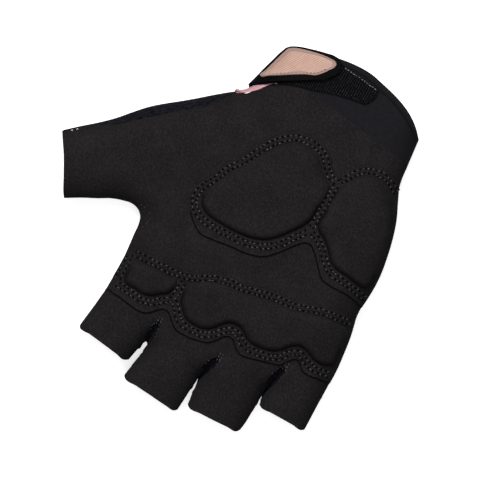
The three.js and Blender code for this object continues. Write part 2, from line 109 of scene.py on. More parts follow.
# How far strips turn under the sides, and how deep their edges lie under the suede
GUSSET_TUCK = 0.9
GUSSET_SUNK = 0.12
FOURCHETTE_TUCK = 0.8
FOURCHETTE_SUNK = 0.6
FOURCHETTE_DROP = 0.2
TAB_TUCK = 0.5

# Camera, as the photograph was taken: straight down, the glove turned 30 degrees, a pixel in millimetres
PIXEL = 0.41
FRAME_PIXELS = 480
CAMERA_TURN = math.radians(30)
CAMERA_AIM = (-5.6, 1.5)
CAMERA_HEIGHT = 2000.0
SENSOR = 36.0

# Side edges of the glove in plan, each with the glove on its left
SIDES = {
    "thumb_lower": [
        (-83, -23.9), (-76.5, -19.6), (-70, -15.7), (-64.5, -12.8), (-60, -10.2), (-55, -8.4),
        (-51.7, -7.7), (-48.5, -8.3), (-46, -10.4), (-45, -13.2), (-44.5, -18), (-43.8, -24), (-43.2, -30),
        (-43.1, -40), (-43.8, -50), (-44.9, -60), (-46, -80)
    ],
    "thumb_upper": [
        (-24.4, 90), (-25.2, 82), (-26.4, 76), (-27.8, 70), (-29.8, 64), (-32.4, 59), (-34.6, 56),
        (-37, 53.9), (-40, 51.6), (-45, 47.4), (-50, 43), (-55, 38.8), (-60, 34.8), (-65, 30.4),
        (-70, 24.9), (-74.5, 19.6), (-80, 14.2), (-85, 9.8), (-91.3, 4), (-98, -2)
    ],
    "little": [
        (56.2, -80), (56.1, -50), (55.8, -42), (55.6, -33), (55.4, -25), (54.6, -18), (53.4, -10),
        (52, -4), (51.4, 1), (51.7, 7), (51.8, 13), (51.1, 20), (50, 26), (48.8, 31), (47.4, 36),
        (45.6, 41), (43.2, 46), (41, 50.5), (39.6, 55.5), (38.9, 61), (38.3, 66), (37.7, 71), (37.2, 78),
        (36.8, 90)
    ],
    "gap_index": [
        (-23.5, -80), (-21, -66), (-20.1, -61), (-19.3, -57), (-18.7, -54.2), (-17.9, -52.9),
        (-17.1, -54.2), (-16.9, -57), (-17.5, -61), (-18.6, -67), (-19.3, -72), (-21, -85)
    ],
    "gap_middle": [
        (6.6, -85), (6.9, -73), (7.3, -66), (7.5, -60), (7.5, -56.2), (7.9, -54.9), (8.3, -56.2),
        (8.7, -60), (9.1, -64), (9.6, -69), (10.2, -85)
    ],
    "gap_ring": [
        (32.4, -80), (33.1, -68), (33.8, -62), (33.8, -54), (33.6, -48.2), (33.9, -46.7), (34.2, -48.2),
        (34.6, -50.5), (35.0, -53.5), (35.6, -80)
    ],
}

# The filled-out palm side: at each place in plan, how high it stands and how wide its edge is rounded
CROWNS = [
    (4, 86, 21.2, 13), (4, 72, 22.0, 14), (3, 58, 23.4, 14), (0, 35, 25.2, 15), (36, 28, 25.0, 14),
    (-40, 25, 24.0, 15), (0, -2, 24.6, 15), (36, -5, 24.2, 14), (-34, -14, 22.4, 14), (20, -22, 22.6, 14),
    (-31, -42, 18.6, 12.2), (-5, -46, 18.8, 12.2), (21, -45, 18.6, 12.2), (46, -33, 18.8, 12),
    (-33, -63, 16.6, 11.8), (-6, -72, 16.6, 12), (21, -68, 16.6, 11.8), (45, -54, 16.2, 10.8),
    (-60, 14, 21.2, 14), (-84, -8, 17.6, 13)
]
CROWN_SPREAD = 13.0

# Soft folds and creases pressed into the palm side: a line, how wide it is, and how deep at each end
FOLDS = [
    dict(a=(-17.5, -40.5), b=(-17.9, -53.2), width=1.9, start=0.0, end=4.6),
    dict(a=(12.6, -40), b=(7.9, -55.2), width=1.9, start=0.0, end=4.6),
    dict(a=(37.2, -30), b=(33.9, -47), width=1.9, start=0.0, end=4.6),
    dict(a=(-52, 0), b=(-36, 8), width=5.5, start=1.3, end=0.2),
    dict(a=(-47, -7), b=(-38, -14), width=3.5, start=0.9, end=0.1),
    dict(a=(-74, 8), b=(-52, 20), width=6.0, start=0.0, end=-0.5),
    dict(a=(-30, 56), b=(12, 58), width=2.6, start=0.5, end=0.1),
    dict(a=(-10, 62), b=(34, 57), width=3.2, start=-0.3, end=0.35),
    dict(a=(12, 70), b=(36, 68), width=2.5, start=0.1, end=0.4),
]

# Corners and edges of the suede panel. Below the creases the palm's line bows down between the fingers, and
# the rows of points crowd towards it.
HEM = {
    "index": [
        (-45, -61.6), (-44.5, -62.3), (-40, -62.5), (-33, -63.2), (-26, -64.1), (-22.3, -64.7), (-21, -64)
    ],
    "middle": [
        (-18.9, -70.3), (-18.2, -71), (-13, -71.3), (-6, -71.7), (2, -72.3), (6, -72.4), (6.8, -71.7)
    ],
    "ring": [(9.6, -67.6), (10.4, -68.2), (16, -68), (22, -67.7), (28, -67.3), (32.4, -67), (33, -66.3)],
    "little": [
        (35, -52.9), (35.8, -53.4), (41, -53.3), (46, -53.2), (51, -53.2), (55.2, -53.3), (56, -52.7)
    ],
}
KNUCKLE_BOWS = [-2.0, -3.0, -1.0, -2.5]
ROW_CROWDING = 0.9
CREASES = {"gap_index": (-17.5, -43.2), "gap_middle": (11.3, -43.6), "gap_ring": (36.4, -33.4)}
FINGER_EDGES = {
    "index_right": [
        (-17.5, -43.2), (-18.8, -45.2), (-19.5, -48.5), (-19.5, -51.8), (-18.95, -54.6), (-19.5, -57.6),
        (-20.2, -61), (-21, -64)
    ],
    "middle_left": [
        (-17.5, -43.2), (-16.5, -45), (-16.1, -48.5), (-16.2, -52), (-16.75, -54.8), (-16.9, -57.4),
        (-17.6, -61), (-18.4, -66), (-18.9, -70.3)
    ],
    "middle_right": [
        (11.3, -43.6), (8.9, -45.5), (7.4, -48.8), (6.9, -52.5), (7.3, -56.4), (7.45, -60), (7.2, -66),
        (6.8, -71.7)
    ],
    "ring_left": [
        (11.3, -43.6), (11.8, -46), (11, -49.5), (9.7, -53.2), (8.7, -56.4), (8.75, -60), (9.1, -64),
        (9.6, -67.6)
    ],
    "ring_right": [
        (36.4, -33.4), (34.6, -35.4), (33.3, -39), (32.7, -43), (33.2, -47.2), (33.75, -51), (33.8, -58),
        (33.4, -63), (33, -66.3)
    ],
    "little_left": [
        (36.4, -33.4), (37.2, -36), (36.8, -40), (35.6, -44.2), (34.5, -47.9), (34.6, -50.5), (35, -52.9)
    ],
}

# Strips between the fingers: the gap each one lines, the gap's inner end, and the two suede edges it joins
FOURCHETTES = {
    "fourchette_index_middle": ("gap_index", (-17.9, -52.9), "index_right", "middle_left"),
    "fourchette_middle_ring": ("gap_middle", (7.9, -54.9), "middle_right", "ring_left"),
    "fourchette_ring_little": ("gap_ring", (33.9, -46.7), "ring_right", "little_left"),
}

# Where the body of the glove meets the fingers, the thumb and the cuff, and the seams there
KNUCKLE_LEFT = (-43.3, -45)
KNUCKLE_RIGHT = (55.85, -38)
THUMB_CROTCH = (-45.5, -11.4)
WRIST_CORNER = (-36.2, 54.6)
THUMB_MOUTH = [(-76.7, -19.7), (-77.6, -18.3), (-81.3, -11.4), (-85.7, -3.8), (-89.2, 1.2), (-91.1, 3.9)]
GUSSET_SEAM = [
    (-36.2, 54.6), (-37.8, 52), (-39.6, 48.6), (-43.8, 43), (-49.5, 37.8), (-55, 33.3), (-60.7, 28.2),
    (-65, 24.3), (-70, 19.6), (-75, 15.7), (-80.7, 12.7), (-86, 8.6), (-91.1, 3.9)
]
CUFF_SEAM = [
    (-36.2, 54.6), (-33.8, 54.4), (-31.8, 56.4), (-29.4, 59.4), (-25.4, 64.4), (-20, 66.2), (-10, 68.2),
    (0, 66.8), (12, 65.4), (25, 63.9), (38.8, 62)
]
CUFF_FOOT = [(-33.4, 57.6), (-30.4, 61.2), (-26, 64.8)] + CUFF_SEAM[5:]
CUFF_HEM = [
    (-25.8, 79.4), (-24.6, 80.7), (-20, 82.4), (-14, 84.2), (-8, 85.6), (0, 86.8), (6, 86.9), (14, 85.4),
    (22, 83.3), (28, 80.8), (33, 77.6), (37.35, 73.6)
]

# Edges of the second layers of suede
HEEL_LOW = [
    (-31.6, 8.6), (-30.4, 5), (-28.6, 1.6), (-25, -1.8), (-21.2, -4), (-15, -3.7), (-8, -2.6), (0.4, -1.5),
    (5.8, 0.5), (10.4, 5.1), (15.4, 11.6), (18, 14), (20.3, 14.3), (22.7, 12.8), (28, 7.4), (31.4, 4.4),
    (36, 3.8), (43, 4.1), (51.4, 2.7)
]
HEEL_HIGH = [
    (-31.6, 8.6), (-31.4, 12), (-28.6, 18.5), (-26, 24.4), (-21.6, 31), (-17.8, 38.6), (-13.8, 44.8),
    (-7, 50.6), (1.4, 51.8), (8.2, 49.8), (12.4, 45), (16.4, 43.2), (18.6, 46.2), (21, 50.3), (25.6, 53.6),
    (32, 54.8), (37, 53.4), (40.6, 51.4)
]
HEEL_SIDE = [
    (51.4, 2.7), (51.75, 9), (51.5, 17), (50.2, 25), (48.3, 33), (45.6, 41), (43.2, 46), (40.6, 51.4)
]
KNUCKLE_LOW = [
    (-43.1, -42.6), (-40.5, -42.9), (-35, -43.3), (-30, -43.9), (-27, -44.1), (-24, -43.3), (-21.8, -41.3),
    (-19.6, -39), (-17.8, -38.2), (-15.8, -38.6), (-13.2, -40.8), (-10.5, -42.9), (-6, -43.3), (0, -42.4),
    (4, -41), (6.5, -38.4), (8.3, -35.8), (10.3, -34.6), (12.4, -35), (14.6, -37), (17.6, -38.7),
    (22, -38), (27, -36.5), (31.5, -35.3), (34.2, -34.2), (35.8, -31.8), (37.4, -29.6), (39.2, -29),
    (41, -30), (43, -31.8), (46, -32.2), (50, -31.5), (55.6, -30.6)
]
KNUCKLE_HIGH = [
    (-43.4, -24.6), (-40, -24), (-36, -23.3), (-30, -22.8), (-24, -22.4), (-18, -21.6), (-12, -19.2),
    (-8, -16.7), (-4, -15.2), (0, -14.2), (5, -13.7), (15, -11.2), (20, -10.2), (30, -8.7), (40, -5.2),
    (46, -4.4), (51.9, -3.8)
]
KNUCKLE_SIDE = [(55.6, -30.6), (55.4, -25), (54.6, -18), (53.4, -10), (51.9, -3.8)]
KNUCKLE_THUMB_SIDE = [(-43.1, -42.6), (-43.1, -36), (-43.2, -30), (-43.4, -24.6)]

# Double rows of stitches: how far apart and how long they are, how they lean and wander, the swell of the
# sewn band with its dips, each row's side and phase, and their midlines
STITCH_SPREAD = 0.95
STITCH_PITCH = 2.1
STITCH_LENGTH = 1.15
STITCH_WIDTH = 0.52
STITCH_LIFT = 0.1
STITCH_LEAN = 0.3
LEAN_SPREAD = 0.35
STITCH_WANDER = 0.2
STITCH_ROWS = ((-1, 0.5), (1, 0.8))
ROD_PROFILE = [0.45, 0.9, 1, 0.9, 0.45]
ROD_SIDES = 6
HOLE_SIZE = 0.98
HOLE_LIFT = 0.16
HOLE_WANDER = 0.16
WELT_HALF = 2.1
WELT_RISE = 0.55
WELT_SUNK = 0.12
DIP_WIDTH = 0.48
WELT_STEPS = 6
WELT_COLS = 19
DOUBLE_ROWS = {
    "heel_centre": [
        (16.6, 41.6), (14, 42), (11.4, 43.6), (7.3, 48), (1.2, 50.1), (-6.5, 48.9), (-12.7, 43.5),
        (-16.5, 37.4), (-20.4, 29.7), (-24.6, 23.5), (-26.9, 17.4), (-29.6, 12), (-30.2, 7.4),
        (-27.8, 3.6), (-24, 1.5), (-19.5, 0.8), (-12, 1), (-5, 1.3), (0, 2.4), (5, 4.5), (8.8, 7.6),
        (12.7, 12.8), (16.2, 17.6)
    ],
    "heel_divider": [(17.1, 40), (17.1, 20.4)],
    "heel_outer_top": [
        (18, 42.6), (20, 45.7), (22.3, 49.4), (26, 52), (31.9, 53.2), (36.8, 51.8), (40, 50)
    ],
    "heel_outer_low": [
        (18.3, 18.4), (20.4, 18), (24.2, 15.6), (28.8, 11.2), (32.7, 8.4), (39.6, 7.8), (46, 7),
        (50.6, 6.2)
    ],
    "knuckle_top": [
        (-40.4, -25), (-36, -24.4), (-30, -24), (-24, -23.6), (-18.4, -22.8), (-12, -20.4), (-8, -18),
        (-4, -16.5), (0, -15.5), (5, -15), (10, -13.8), (15, -12.5), (20, -11.5), (25, -11), (30, -10),
        (35, -8.1), (40, -6.7), (45, -6), (50.6, -5.4)
    ],
    "index_side": [(-41.2, -27.4), (-41.1, -32), (-41.1, -37.2)],
    "knuckle_divider": [(-17, -25), (-17, -31.6)],
    "knuckle_low": [
        (-39.8, -39.1), (-34, -39.4), (-28, -39.8), (-24, -38.5), (-20.4, -35.6), (-17, -33.4),
        (-14, -35.6), (-11.5, -38.8), (-8, -40), (-3, -40.1), (1, -39.4), (4.4, -37.2), (7.4, -33.6),
        (10.6, -31.8), (13.6, -32.4), (17, -34.8), (20, -35.2), (25, -34.6), (30, -33.2), (33, -31),
        (35.4, -27.8), (38.4, -26.4), (42, -27.8), (46, -28.8), (53.8, -28)
    ],
}

# Padded cells: a lower and a higher edge at each place across
CELLS = {
    "heel_centre_pad": dict(
        low=[
            (-28, 9.4), (-26.4, 6), (-22.4, 3.8), (-16, 3.2), (-8, 3.4), (-2, 4.4), (3.4, 6.6),
            (7.4, 10.2), (11, 15), (14.2, 19.8), (15.4, 23), (15.6, 29)
        ],
        high=[
            (-28, 9.4), (-26.8, 14), (-24.4, 20), (-21.6, 25.6), (-18.2, 31), (-14.4, 37.6), (-10.4, 43),
            (-5.4, 46.8), (0.6, 47.9), (6, 46.2), (9.6, 42.4), (12.2, 40.4), (14.8, 39.4), (15.6, 37),
            (15.6, 29)
        ],
    ),
    "heel_outer_pad": dict(
        low=[
            (18.7, 29), (18.7, 22.2), (20.2, 20.4), (23.4, 18.8), (27.4, 15.4), (31, 11.8), (34, 10.6),
            (39, 10.2), (44, 9.6), (48.2, 9.6), (49.9, 12), (49.9, 16)
        ],
        high=[
            (18.7, 29), (18.8, 38), (19.6, 41.8), (22, 45.6), (24.6, 48.8), (28, 50.4), (32, 50.8),
            (35.6, 49.6), (38.4, 47.4), (41.2, 43.6), (44.2, 38.2), (46.8, 32), (48.6, 26), (49.6, 20),
            (49.9, 16)
        ],
    ),
    "index_pad": dict(
        low=[
            (-39.1, -31.8), (-39, -35.6), (-37.6, -37), (-33, -37.3), (-28.6, -37.5), (-25.6, -36.4),
            (-22.4, -34), (-20, -32), (-18.9, -29.4)
        ],
        high=[
            (-39.1, -31.8), (-39, -28.4), (-37.4, -26.9), (-33, -26.4), (-28, -26), (-23, -25.8),
            (-19.8, -25.2), (-19, -26.6), (-18.9, -29.4)
        ],
    ),
    "finger_pad": dict(
        low=[
            (-15.1, -28.6), (-14.4, -32), (-11.6, -35.2), (-9.2, -37.4), (-5, -38), (-1, -37.7),
            (2.2, -36), (4.8, -32.8), (7.6, -30), (11, -29.2), (14.4, -30.6), (18, -32.8), (22, -32.7),
            (27, -31.8), (31, -29.8), (33.4, -26.6), (36.4, -24.2), (40, -24.2), (45, -26), (50.4, -25.6),
            (52.8, -24), (52.6, -17)
        ],
        high=[
            (-15.1, -28.6), (-14.8, -24.4), (-12.4, -22), (-8, -19.6), (-3, -17.6), (2, -17), (8, -16),
            (15, -14.4), (22, -13), (29, -12), (35, -10), (41, -8.4), (47, -8), (50.6, -8.4), (52, -10.4),
            (52.6, -17)
        ],
    ),
}

# Closure at the wrist. The inlay's rim is listed as inset and height, and its shade as ring and darkness.
STRAP_SIDE = [(-34.6, 58.6), (-33.4, 63), (-32.3, 67.5), (-31, 72), (-29.9, 76), (-28.8, 79)]
STRAP_LOW = [
    (-34.6, 58.6), (-30, 61.7), (-26.3, 64.2), (-22, 66.8), (-17, 69.8), (-12.4, 72.7), (-8.8, 75),
    (-6.4, 77.8)
]
STRAP_HIGH = [
    (-28.8, 79), (-27.4, 80.3), (-25, 81.5), (-19.4, 83.3), (-13.6, 84.8), (-9.4, 85.6), (-6.8, 85.2),
    (-5, 83)
]
STRAP_END = [(-6.4, 77.8), (-4.9, 80.4), (-5, 83)]
INLAY_OUTLINE = [
    (-31.9, 63.7), (-31.0, 63.6), (-29.4, 64.9), (-26, 67), (-20, 70.8), (-16, 73.2), (-12.2, 75),
    (-10.4, 76.9), (-8.8, 79.2), (-7.4, 81.4), (-7.2, 82.8), (-8.2, 83.7), (-10.8, 83.8), (-16, 83.1),
    (-21, 81.9), (-25.4, 80.4), (-27.2, 79.2), (-28.2, 76.6), (-29.6, 71.6), (-31, 66.4)
]
INLAY_RIM = [
    (0, -0.1), (0, 0.25), (0.12, 0.5), (0.35, 0.6), (0.65, 0.55), (0.95, 0.36), (1.2, 0.2), (1.45, 0.36),
    (1.8, 0.42)
]
INLAY_CENTRE = 0.02
INLAY_RIM_SHADE = ([0, 4, 6, 7, 8], [1, 0.7, 1, 0.3, 0])
LOOP_LOW = [(-23, 65), (-16, 67.6), (-10.4, 69.2), (-2, 72), (4.2, 73.5), (10.6, 74.6)]
LOOP_HIGH = [(-20.5, 79.2), (-12, 82.4), (-5, 83.9), (2, 83.6), (8, 83.2), (13, 82.6)]
LOOP_END = [(10.6, 74.6), (12.6, 77.4), (13.2, 80), (13, 82.6)]
LOOP_SIDE = [(-23, 65), (-22, 72), (-20.5, 79.2)]
TRIM_LOW = [
    (-38.0, 53.3), (-36.2, 53.7), (-34, 54.6), (-32, 56.3), (-30, 58.3), (-27.6, 61.5), (-24.6, 64.9)
]
TRIM_HIGH = [
    (-38.0, 53.3), (-36.8, 54.3), (-34.6, 56), (-32.6, 58.8), (-31, 61.6), (-28.6, 64), (-24.6, 64.9)
]
TRIM_EDGE = 0.75
TRIM_CROWN = 0.5

# Small stitches, in plan: the loop patch's edge, the inlay's edge, the thumb crotch and the thumb mouth
LOOP_STITCH_LINE = [(-4, 83.4), (4, 83), (12.4, 82.2)]
INLAY_STITCH_LINE = [(-30.6, 65), (-25.7, 68.1), (-19.8, 71.7), (-15.8, 74.1), (-12.4, 75.9), (-9.9, 79.2)]
CROTCH_LINE = [(-48.1, -6.6), (-45.3, -6.8), (-43.1, -7.4), (-42.1, -9.4), (-41.9, -11.5), (-42.5, -14)]
THUMB_TACKS = [(-87.5, 6.0), (-85.9, 7.5)]
EDGE_STITCHES = 5

# Counts: grid lines as rows and columns, samples of a curve, and steps of the searches
FINGER_COLS = 27
FINGER_ROWS = 26
BODY_ROWS_LOW = 34
BODY_ROWS_HIGH = 60
THUMB_COLS = 44
CUFF_GRID = (64, 72)
GUSSET_GRID = (12, 90)
FOURCHETTE_GRID = (15, 44)
HEEL_GRID = (70, 130)
KNUCKLE_GRID = (40, 190)
CELL_GRID = (42, 96)
LOOP_GRID = (14, 60)
TAB_GRID = (44, 48)
TRIM_GRID = (12, 50)
TUCK_ROWS = 7
INLAY_COUNT = 110
INLAY_RINGS = 13
PIECES_PER_POINT = 6
SIDE_SAMPLES = 1600
WALK_SAMPLES = 600
HALVINGS = 18
BATCH = 4000
TINY = 1e-9
ON_EDGE = 0.05

# Filling of the padded cells: how much larger they are meanwhile, how far a point may move, and the frames
FILLING_SIZE = 16.0
FILLING_MOVE = 0.5 * PAD_RISE
FILLING_STEPS = 18

# Studio, in metres and watts: the gap over the floor, and each lamp's place from the glove's middle
FLOOR_DROP = 0.0004
LAMPS = {"overhead": ((-0.62, 0.58, 1.3), 22, 0.8), "fill": ((0.4, -0.3, 1.6), 6, 1.0)}


def run_length(line):
    """Length of a line from its start to each of its points."""
    return np.concatenate([[0.0], np.cumsum(np.linalg.norm(np.diff(line, axis=0), axis=1))])


def smooth(points, samples):
    """Cubic curve through the points, its tangents the finite differences over chord length.
    samples is a count, spaced evenly, or shares of the length from 0 to 1."""
    p = np.asarray(points, float)
    t = run_length(p)
    slope = np.gradient(p, t, axis=0)
    at = (np.linspace(0, 1, samples) if np.isscalar(samples) else np.asarray(samples)) * t[-1]
    k = np.clip(np.searchsorted(t, at, "right") - 1, 0, len(p) - 2)
    span = (t[k + 1] - t[k])[:, None]
    u = (at - t[k])[:, None] / span
    return ((2 * u**3 - 3 * u**2 + 1) * p[k] + (u**3 - 2 * u**2 + u) * span * slope[k]
            + (3 * u**2 - 2 * u**3) * p[k + 1] + (u**3 - u**2) * span * slope[k + 1])


def closed_curve(points, count):
    """The same curve carried once round a closed outline, with no doubled point."""
    extra = 3
    around = list(points[-extra:]) + list(points) + list(points[: extra + 1])
    length = run_length(np.array(around, float))
    first, last = length[extra] / length[-1], length[extra + len(points)] / length[-1]
    return smooth(around, first + (last - first) * np.arange(count) / count)


def crowded(count):
    """Shares from 0 to 1, crowded at both ends by a cosine."""
    return (1 - np.cos(np.pi * np.arange(count) / (count - 1))) / 2


def edges_of(lines):
    """Start, direction, length and inward normal of each short piece of some lines."""
    curves = [smooth(points, PIECES_PER_POINT * len(points)) for points in lines]
    start = np.concatenate([line[:-1] for line in curves])
    along = np.concatenate([line[1:] for line in curves]) - start
    length = np.linalg.norm(along, axis=1)
    ahead = along / length[:, None]
    return start, ahead, length, np.stack([-ahead[:, 1], ahead[:, 0]], axis=1)


GLOVE_EDGES = edges_of(SIDES.values())
TAB_EDGES = edges_of([[(-27.3, 86)] + STRAP_SIDE[::-1] + [(-36.2, 52)]])


def edge_distance(xy, edges=GLOVE_EDGES):
    """Distance from each point to the nearest edge, below zero outside, and the inward direction there.
    The points are taken in batches, and on the edge itself the direction is the edge's own normal."""
    start, ahead, length, inward = edges
    flat = xy.reshape(-1, 2)
    distance = np.empty(len(flat))
    away = np.empty((len(flat), 2))
    for first in range(0, len(flat), BATCH):
        batch = slice(first, first + BATCH)
        to = flat[batch, None, :] - start[None]
        along = np.clip((to * ahead).sum(-1), 0, length)
        off = to - along[..., None] * ahead
        gap = np.linalg.norm(off, axis=-1)
        k = gap.argmin(1)
        rows = np.arange(len(k))
        near, normal, size = off[rows, k], inward[k], gap[rows, k]
        sign = np.where((near * normal).sum(1) < 0, -1.0, 1.0)
        straight = near * (sign / np.maximum(size, TINY))[:, None]
        away[batch] = np.where((size > ON_EDGE)[:, None], straight, normal)
        distance[batch] = sign * size
    return distance.reshape(xy.shape[:-1]), away.reshape(xy.shape)


def crown_and_roll(xy):
    """Height of the plateau and width of the rounded edge: the table's places, each weighted by a bell of
    its distance."""
    table = np.array(CROWNS, float)
    gap = ((xy[..., None, :] - table[:, :2]) ** 2).sum(-1)
    weight = np.exp(-gap / (2 * CROWN_SPREAD**2)) + TINY
    blend = (weight[..., None] * table[:, 2:]).sum(-2) / weight.sum(-1)[..., None]
    return blend[..., 0], blend[..., 1]


def line_share(xy, a, b):
    """Distance to a straight line between two places, and the share of the way along it."""
    a, b = np.array(a, float), np.array(b, float)
    t = np.clip(((xy - a) @ (b - a)) / ((b - a) @ (b - a)), 0, 1)
    return np.linalg.norm(xy - a - t[..., None] * (b - a), axis=-1), t


def palm_relief(xy, distance):
    """Folds pressed in by bells across each line, and slow waves that fade out at the edges."""
    relief = np.zeros(xy.shape[:-1])
    for fold in FOLDS:
        off, t = line_share(xy, fold["a"], fold["b"])
        depth = fold["start"] + (fold["end"] - fold["start"]) * t
        relief -= depth * np.exp(-((off / fold["width"]) ** 2))
    x, y = xy[..., 0], xy[..., 1]
    waves = (np.sin(x * 0.21 + 1.3) * np.sin(y * 0.17 + 0.4) + 0.6 * np.sin(x * 0.37 - y * 0.29)
             + 0.4 * np.sin(x * 0.11 + y * 0.53 + 2.0))
    return relief + WAVE_HEIGHT * waves * np.clip(distance / WAVE_FADE, 0, 1)


def rounded(u, power):
    """Superellipse quarter: height share and slope at a share u of the rounded edge."""
    inward = 1 - np.clip(u, 0, 1)
    left = 1 - inward**power
    slope = np.maximum(left, 1e-6) ** (1 / power - 1) * inward ** (power - 1)
    return np.maximum(left, 0) ** (1 / power), slope


def dome(xy, distance, away, height, roll, power, side=1):
    """A form that rises, or falls, from the seam as a superellipse of the distance to its edge.
    Returns points and outward normals."""
    share, slope = rounded((distance - EDGE_SNAP) / roll, power)
    steep = -(height / roll * slope)[..., None] * away
    normal = np.concatenate([steep, np.full(steep.shape[:-1] + (1,), float(side))], axis=-1)
    place = np.concatenate([xy, (SEAM + side * height * share)[..., None]], axis=-1)
    return place, unit(normal)


def palm_surface(xy):
    """Palm side of the glove, its folds pressed in where it stands clear of the seam."""
    distance, away = edge_distance(xy)
    crown, roll = crown_and_roll(xy)
    place, normal = dome(xy, distance, away, crown - SEAM, roll, UPPER_ROUND)
    risen = np.clip((place[..., 2] - SEAM) / FOLD_START, 0, 1)
    place[..., 2] = np.maximum(place[..., 2] + palm_relief(xy, distance) * risen, SEAM)
    return place, normal


def back_surface(xy):
    """Back of the glove, flat where it lies on the surface."""
    distance, away = edge_distance(xy)
    return dome(xy, distance, away, SEAM, LOWER_ROLL, LOWER_ROUND, side=-1)


def tab_surface(xy, height=0.0):
    """Outside of the closure tab: the palm's form made larger by the tab's height above it."""
    distance, away = edge_distance(xy, TAB_EDGES)
    crown, roll = crown_and_roll(xy)
    place, normal = dome(xy, distance, away, crown - SEAM + STRAP_TOP, roll + STRAP_TOP, UPPER_ROUND)
    return place + normal * np.broadcast_to(np.asarray(height, float), xy.shape[:-1])[..., None], normal


def unit(v):
    return v / np.maximum(np.linalg.norm(v, axis=-1, keepdims=True), 1e-12)


def lifted(xy, height):
    """Points a height above the palm surface along its normal that lie over xy in plan. The place under each
    is found by halving: its distance to the side, less the height's sideways share, is that of xy."""
    height = np.broadcast_to(np.asarray(height, float), xy.shape[:-1])
    target, away = edge_distance(xy)
    crown, roll = crown_and_roll(xy)
    low, high = np.zeros_like(target), np.maximum(target, 0) + height
    for _ in range(HALVINGS):
        middle = (low + high) / 2
        steep = (crown - SEAM) / roll * rounded(middle / roll, UPPER_ROUND)[1]
        short = middle - height * steep / np.sqrt(1 + steep**2) < target
        low, high = np.where(short, middle, low), np.where(short, high, middle)
    place, normal = palm_surface(xy + away * (high - target)[..., None])
    return place + normal * height[..., None], normal


def patch(low, high, left, right):
    """Grid between four edges: the two rulings added, less the corners' own bilinear part."""
    rows, cols = len(left), len(low)
    u, v = arc_share(low)[None, :, None], arc_share(left)[:, None, None]
    u = (1 - v) * u + v * arc_share(high)[None, :, None]
    ruled = (1 - v) * low[None] + v * high[None]
    across = (1 - u) * left[:, None] + u * right[:, None]
    corners = ((1 - v) * ((1 - u) * low[0] + u * low[-1]) + v * ((1 - u) * high[0] + u * high[-1]))
    return (ruled + across - corners).reshape(rows, cols, 2)


def arc_share(line):
    """Share of the length at each point of a line, or even steps where the line is one point."""
    length = run_length(line)
    return length / length[-1] if length[-1] > 1e-6 else np.linspace(0, 1, len(line))


def between(a, b, shares):
    """Places at shares of the way from a to b."""
    return np.array(a, float) + shares[:, None] * (np.array(b, float) - np.array(a, float))


def grid_faces(rows, cols):
    """Quads of a grid of points."""
    index = np.arange(rows * cols).reshape(rows, cols)
    return np.stack([index[:-1, :-1], index[:-1, 1:], index[1:, 1:], index[1:, :-1]], -1).reshape(-1, 4)


def face_normals(points, faces):
    a, b, c, d = (points[faces[:, k]] for k in range(4))
    return np.cross(c - a, d - b)


def outward(points, faces, normals):
    """The faces, turned round where they look against the given normals of their points."""
    against = (face_normals(points, faces) * normals[faces].mean(1)).sum() < 0
    return faces[:, ::-1] if against else faces


def merged(points, faces):
    """Points that coincide within a hundredth of a millimetre become one; folded faces go."""
    keys, first, back = np.unique(np.round(points, 2), axis=0, return_index=True, return_inverse=True)
    faces = back.reshape(-1)[faces]
    out = []
    for face in faces.tolist():
        ring = [v for k, v in enumerate(face) if v != face[k - 1]]
        if len(set(ring)) > 2:
            out.append(ring)
    return points[first], out, first


def make_piece(name, points, faces, material, replaces=()):
    """A mesh object at the origin with its place in its vertices, riding on the glove."""
    mesh = bpy.data.meshes.new(name)
    mesh.from_pydata(((points + FRAME_SHIFT) * MM).tolist(), [], [list(f) for f in faces])
    mesh.update()
    mesh.shade_smooth()
    mesh.materials.append(material)
    piece = bpy.data.objects.new(name, mesh)
    bpy.context.scene.collection.objects.link(piece)
    if replaces:
        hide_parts(*replaces)
    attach(piece, "root")
    return piece


def darken(piece, shade):
    """Keeps how dark each point of a piece is, from 0 to 1, for its finish."""
    darker = piece.data.attributes.new("shade", "FLOAT", "POINT")
    darker.data.foreach_set("value", shade.astype(np.float32))


def cloth_piece(name, sheets, thickness, material, replaces=(), rim=0.25, shade=None):
    """Sheets of (points, normals) grids joined into one skin, thickened inwards, its cut edges eased.
    shade says how dark each point of a single sheet is, from 0 to 1."""
    points, faces, count = [], [], 0
    for place, normal in sheets:
        rows, cols = place.shape[:2]
        flat, directions = place.reshape(-1, 3), normal.reshape(-1, 3)
        points.append(flat)
        faces.append(outward(flat, grid_faces(rows, cols), directions) + count)
        count += len(flat)
    skin, skin_faces, kept = merged(np.concatenate(points), np.concatenate(faces))
    piece = make_piece(name, skin, skin_faces, material, replaces)
    if shade is not None:
        darken(piece, shade.reshape(-1)[kept])
    wall = piece.modifiers.new("wall", "SOLIDIFY")
    wall.thickness = thickness * MM
    wall.offset = -1
    if rim:
        ease = piece.modifiers.new("eased_edge", "BEVEL")
        ease.width = rim * MM
        ease.segments = 2
        ease.limit_method = "ANGLE"
        ease.angle_limit = math.radians(50)
        ease.harden_normals = True
    return piece


class Sock:
    """A shader socket with arithmetic: each operator adds one Math node."""

    def __init__(self, tree, out):
        self.tree, self.out = tree, out

    def math(self, operation, *values, clamp=False):
        return self.tree.node("ShaderNodeMath", dict(operation=operation, use_clamp=clamp),
                              {k: v for k, v in enumerate((self,) + values)})

    def __add__(self, other):
        return self.math("ADD", other)

    def __sub__(self, other):
        return self.math("SUBTRACT", other)

    def __rsub__(self, other):
        return self.tree.node("ShaderNodeMath", dict(operation="SUBTRACT"), {0: other, 1: self})

    def __mul__(self, other):
        return self.math("MULTIPLY", other)

    __radd__ = __add__
    __rmul__ = __mul__

    def sin(self):
        return self.math("SINE")

    def clamp(self):
        return self.math("ADD", 0.0, clamp=True)


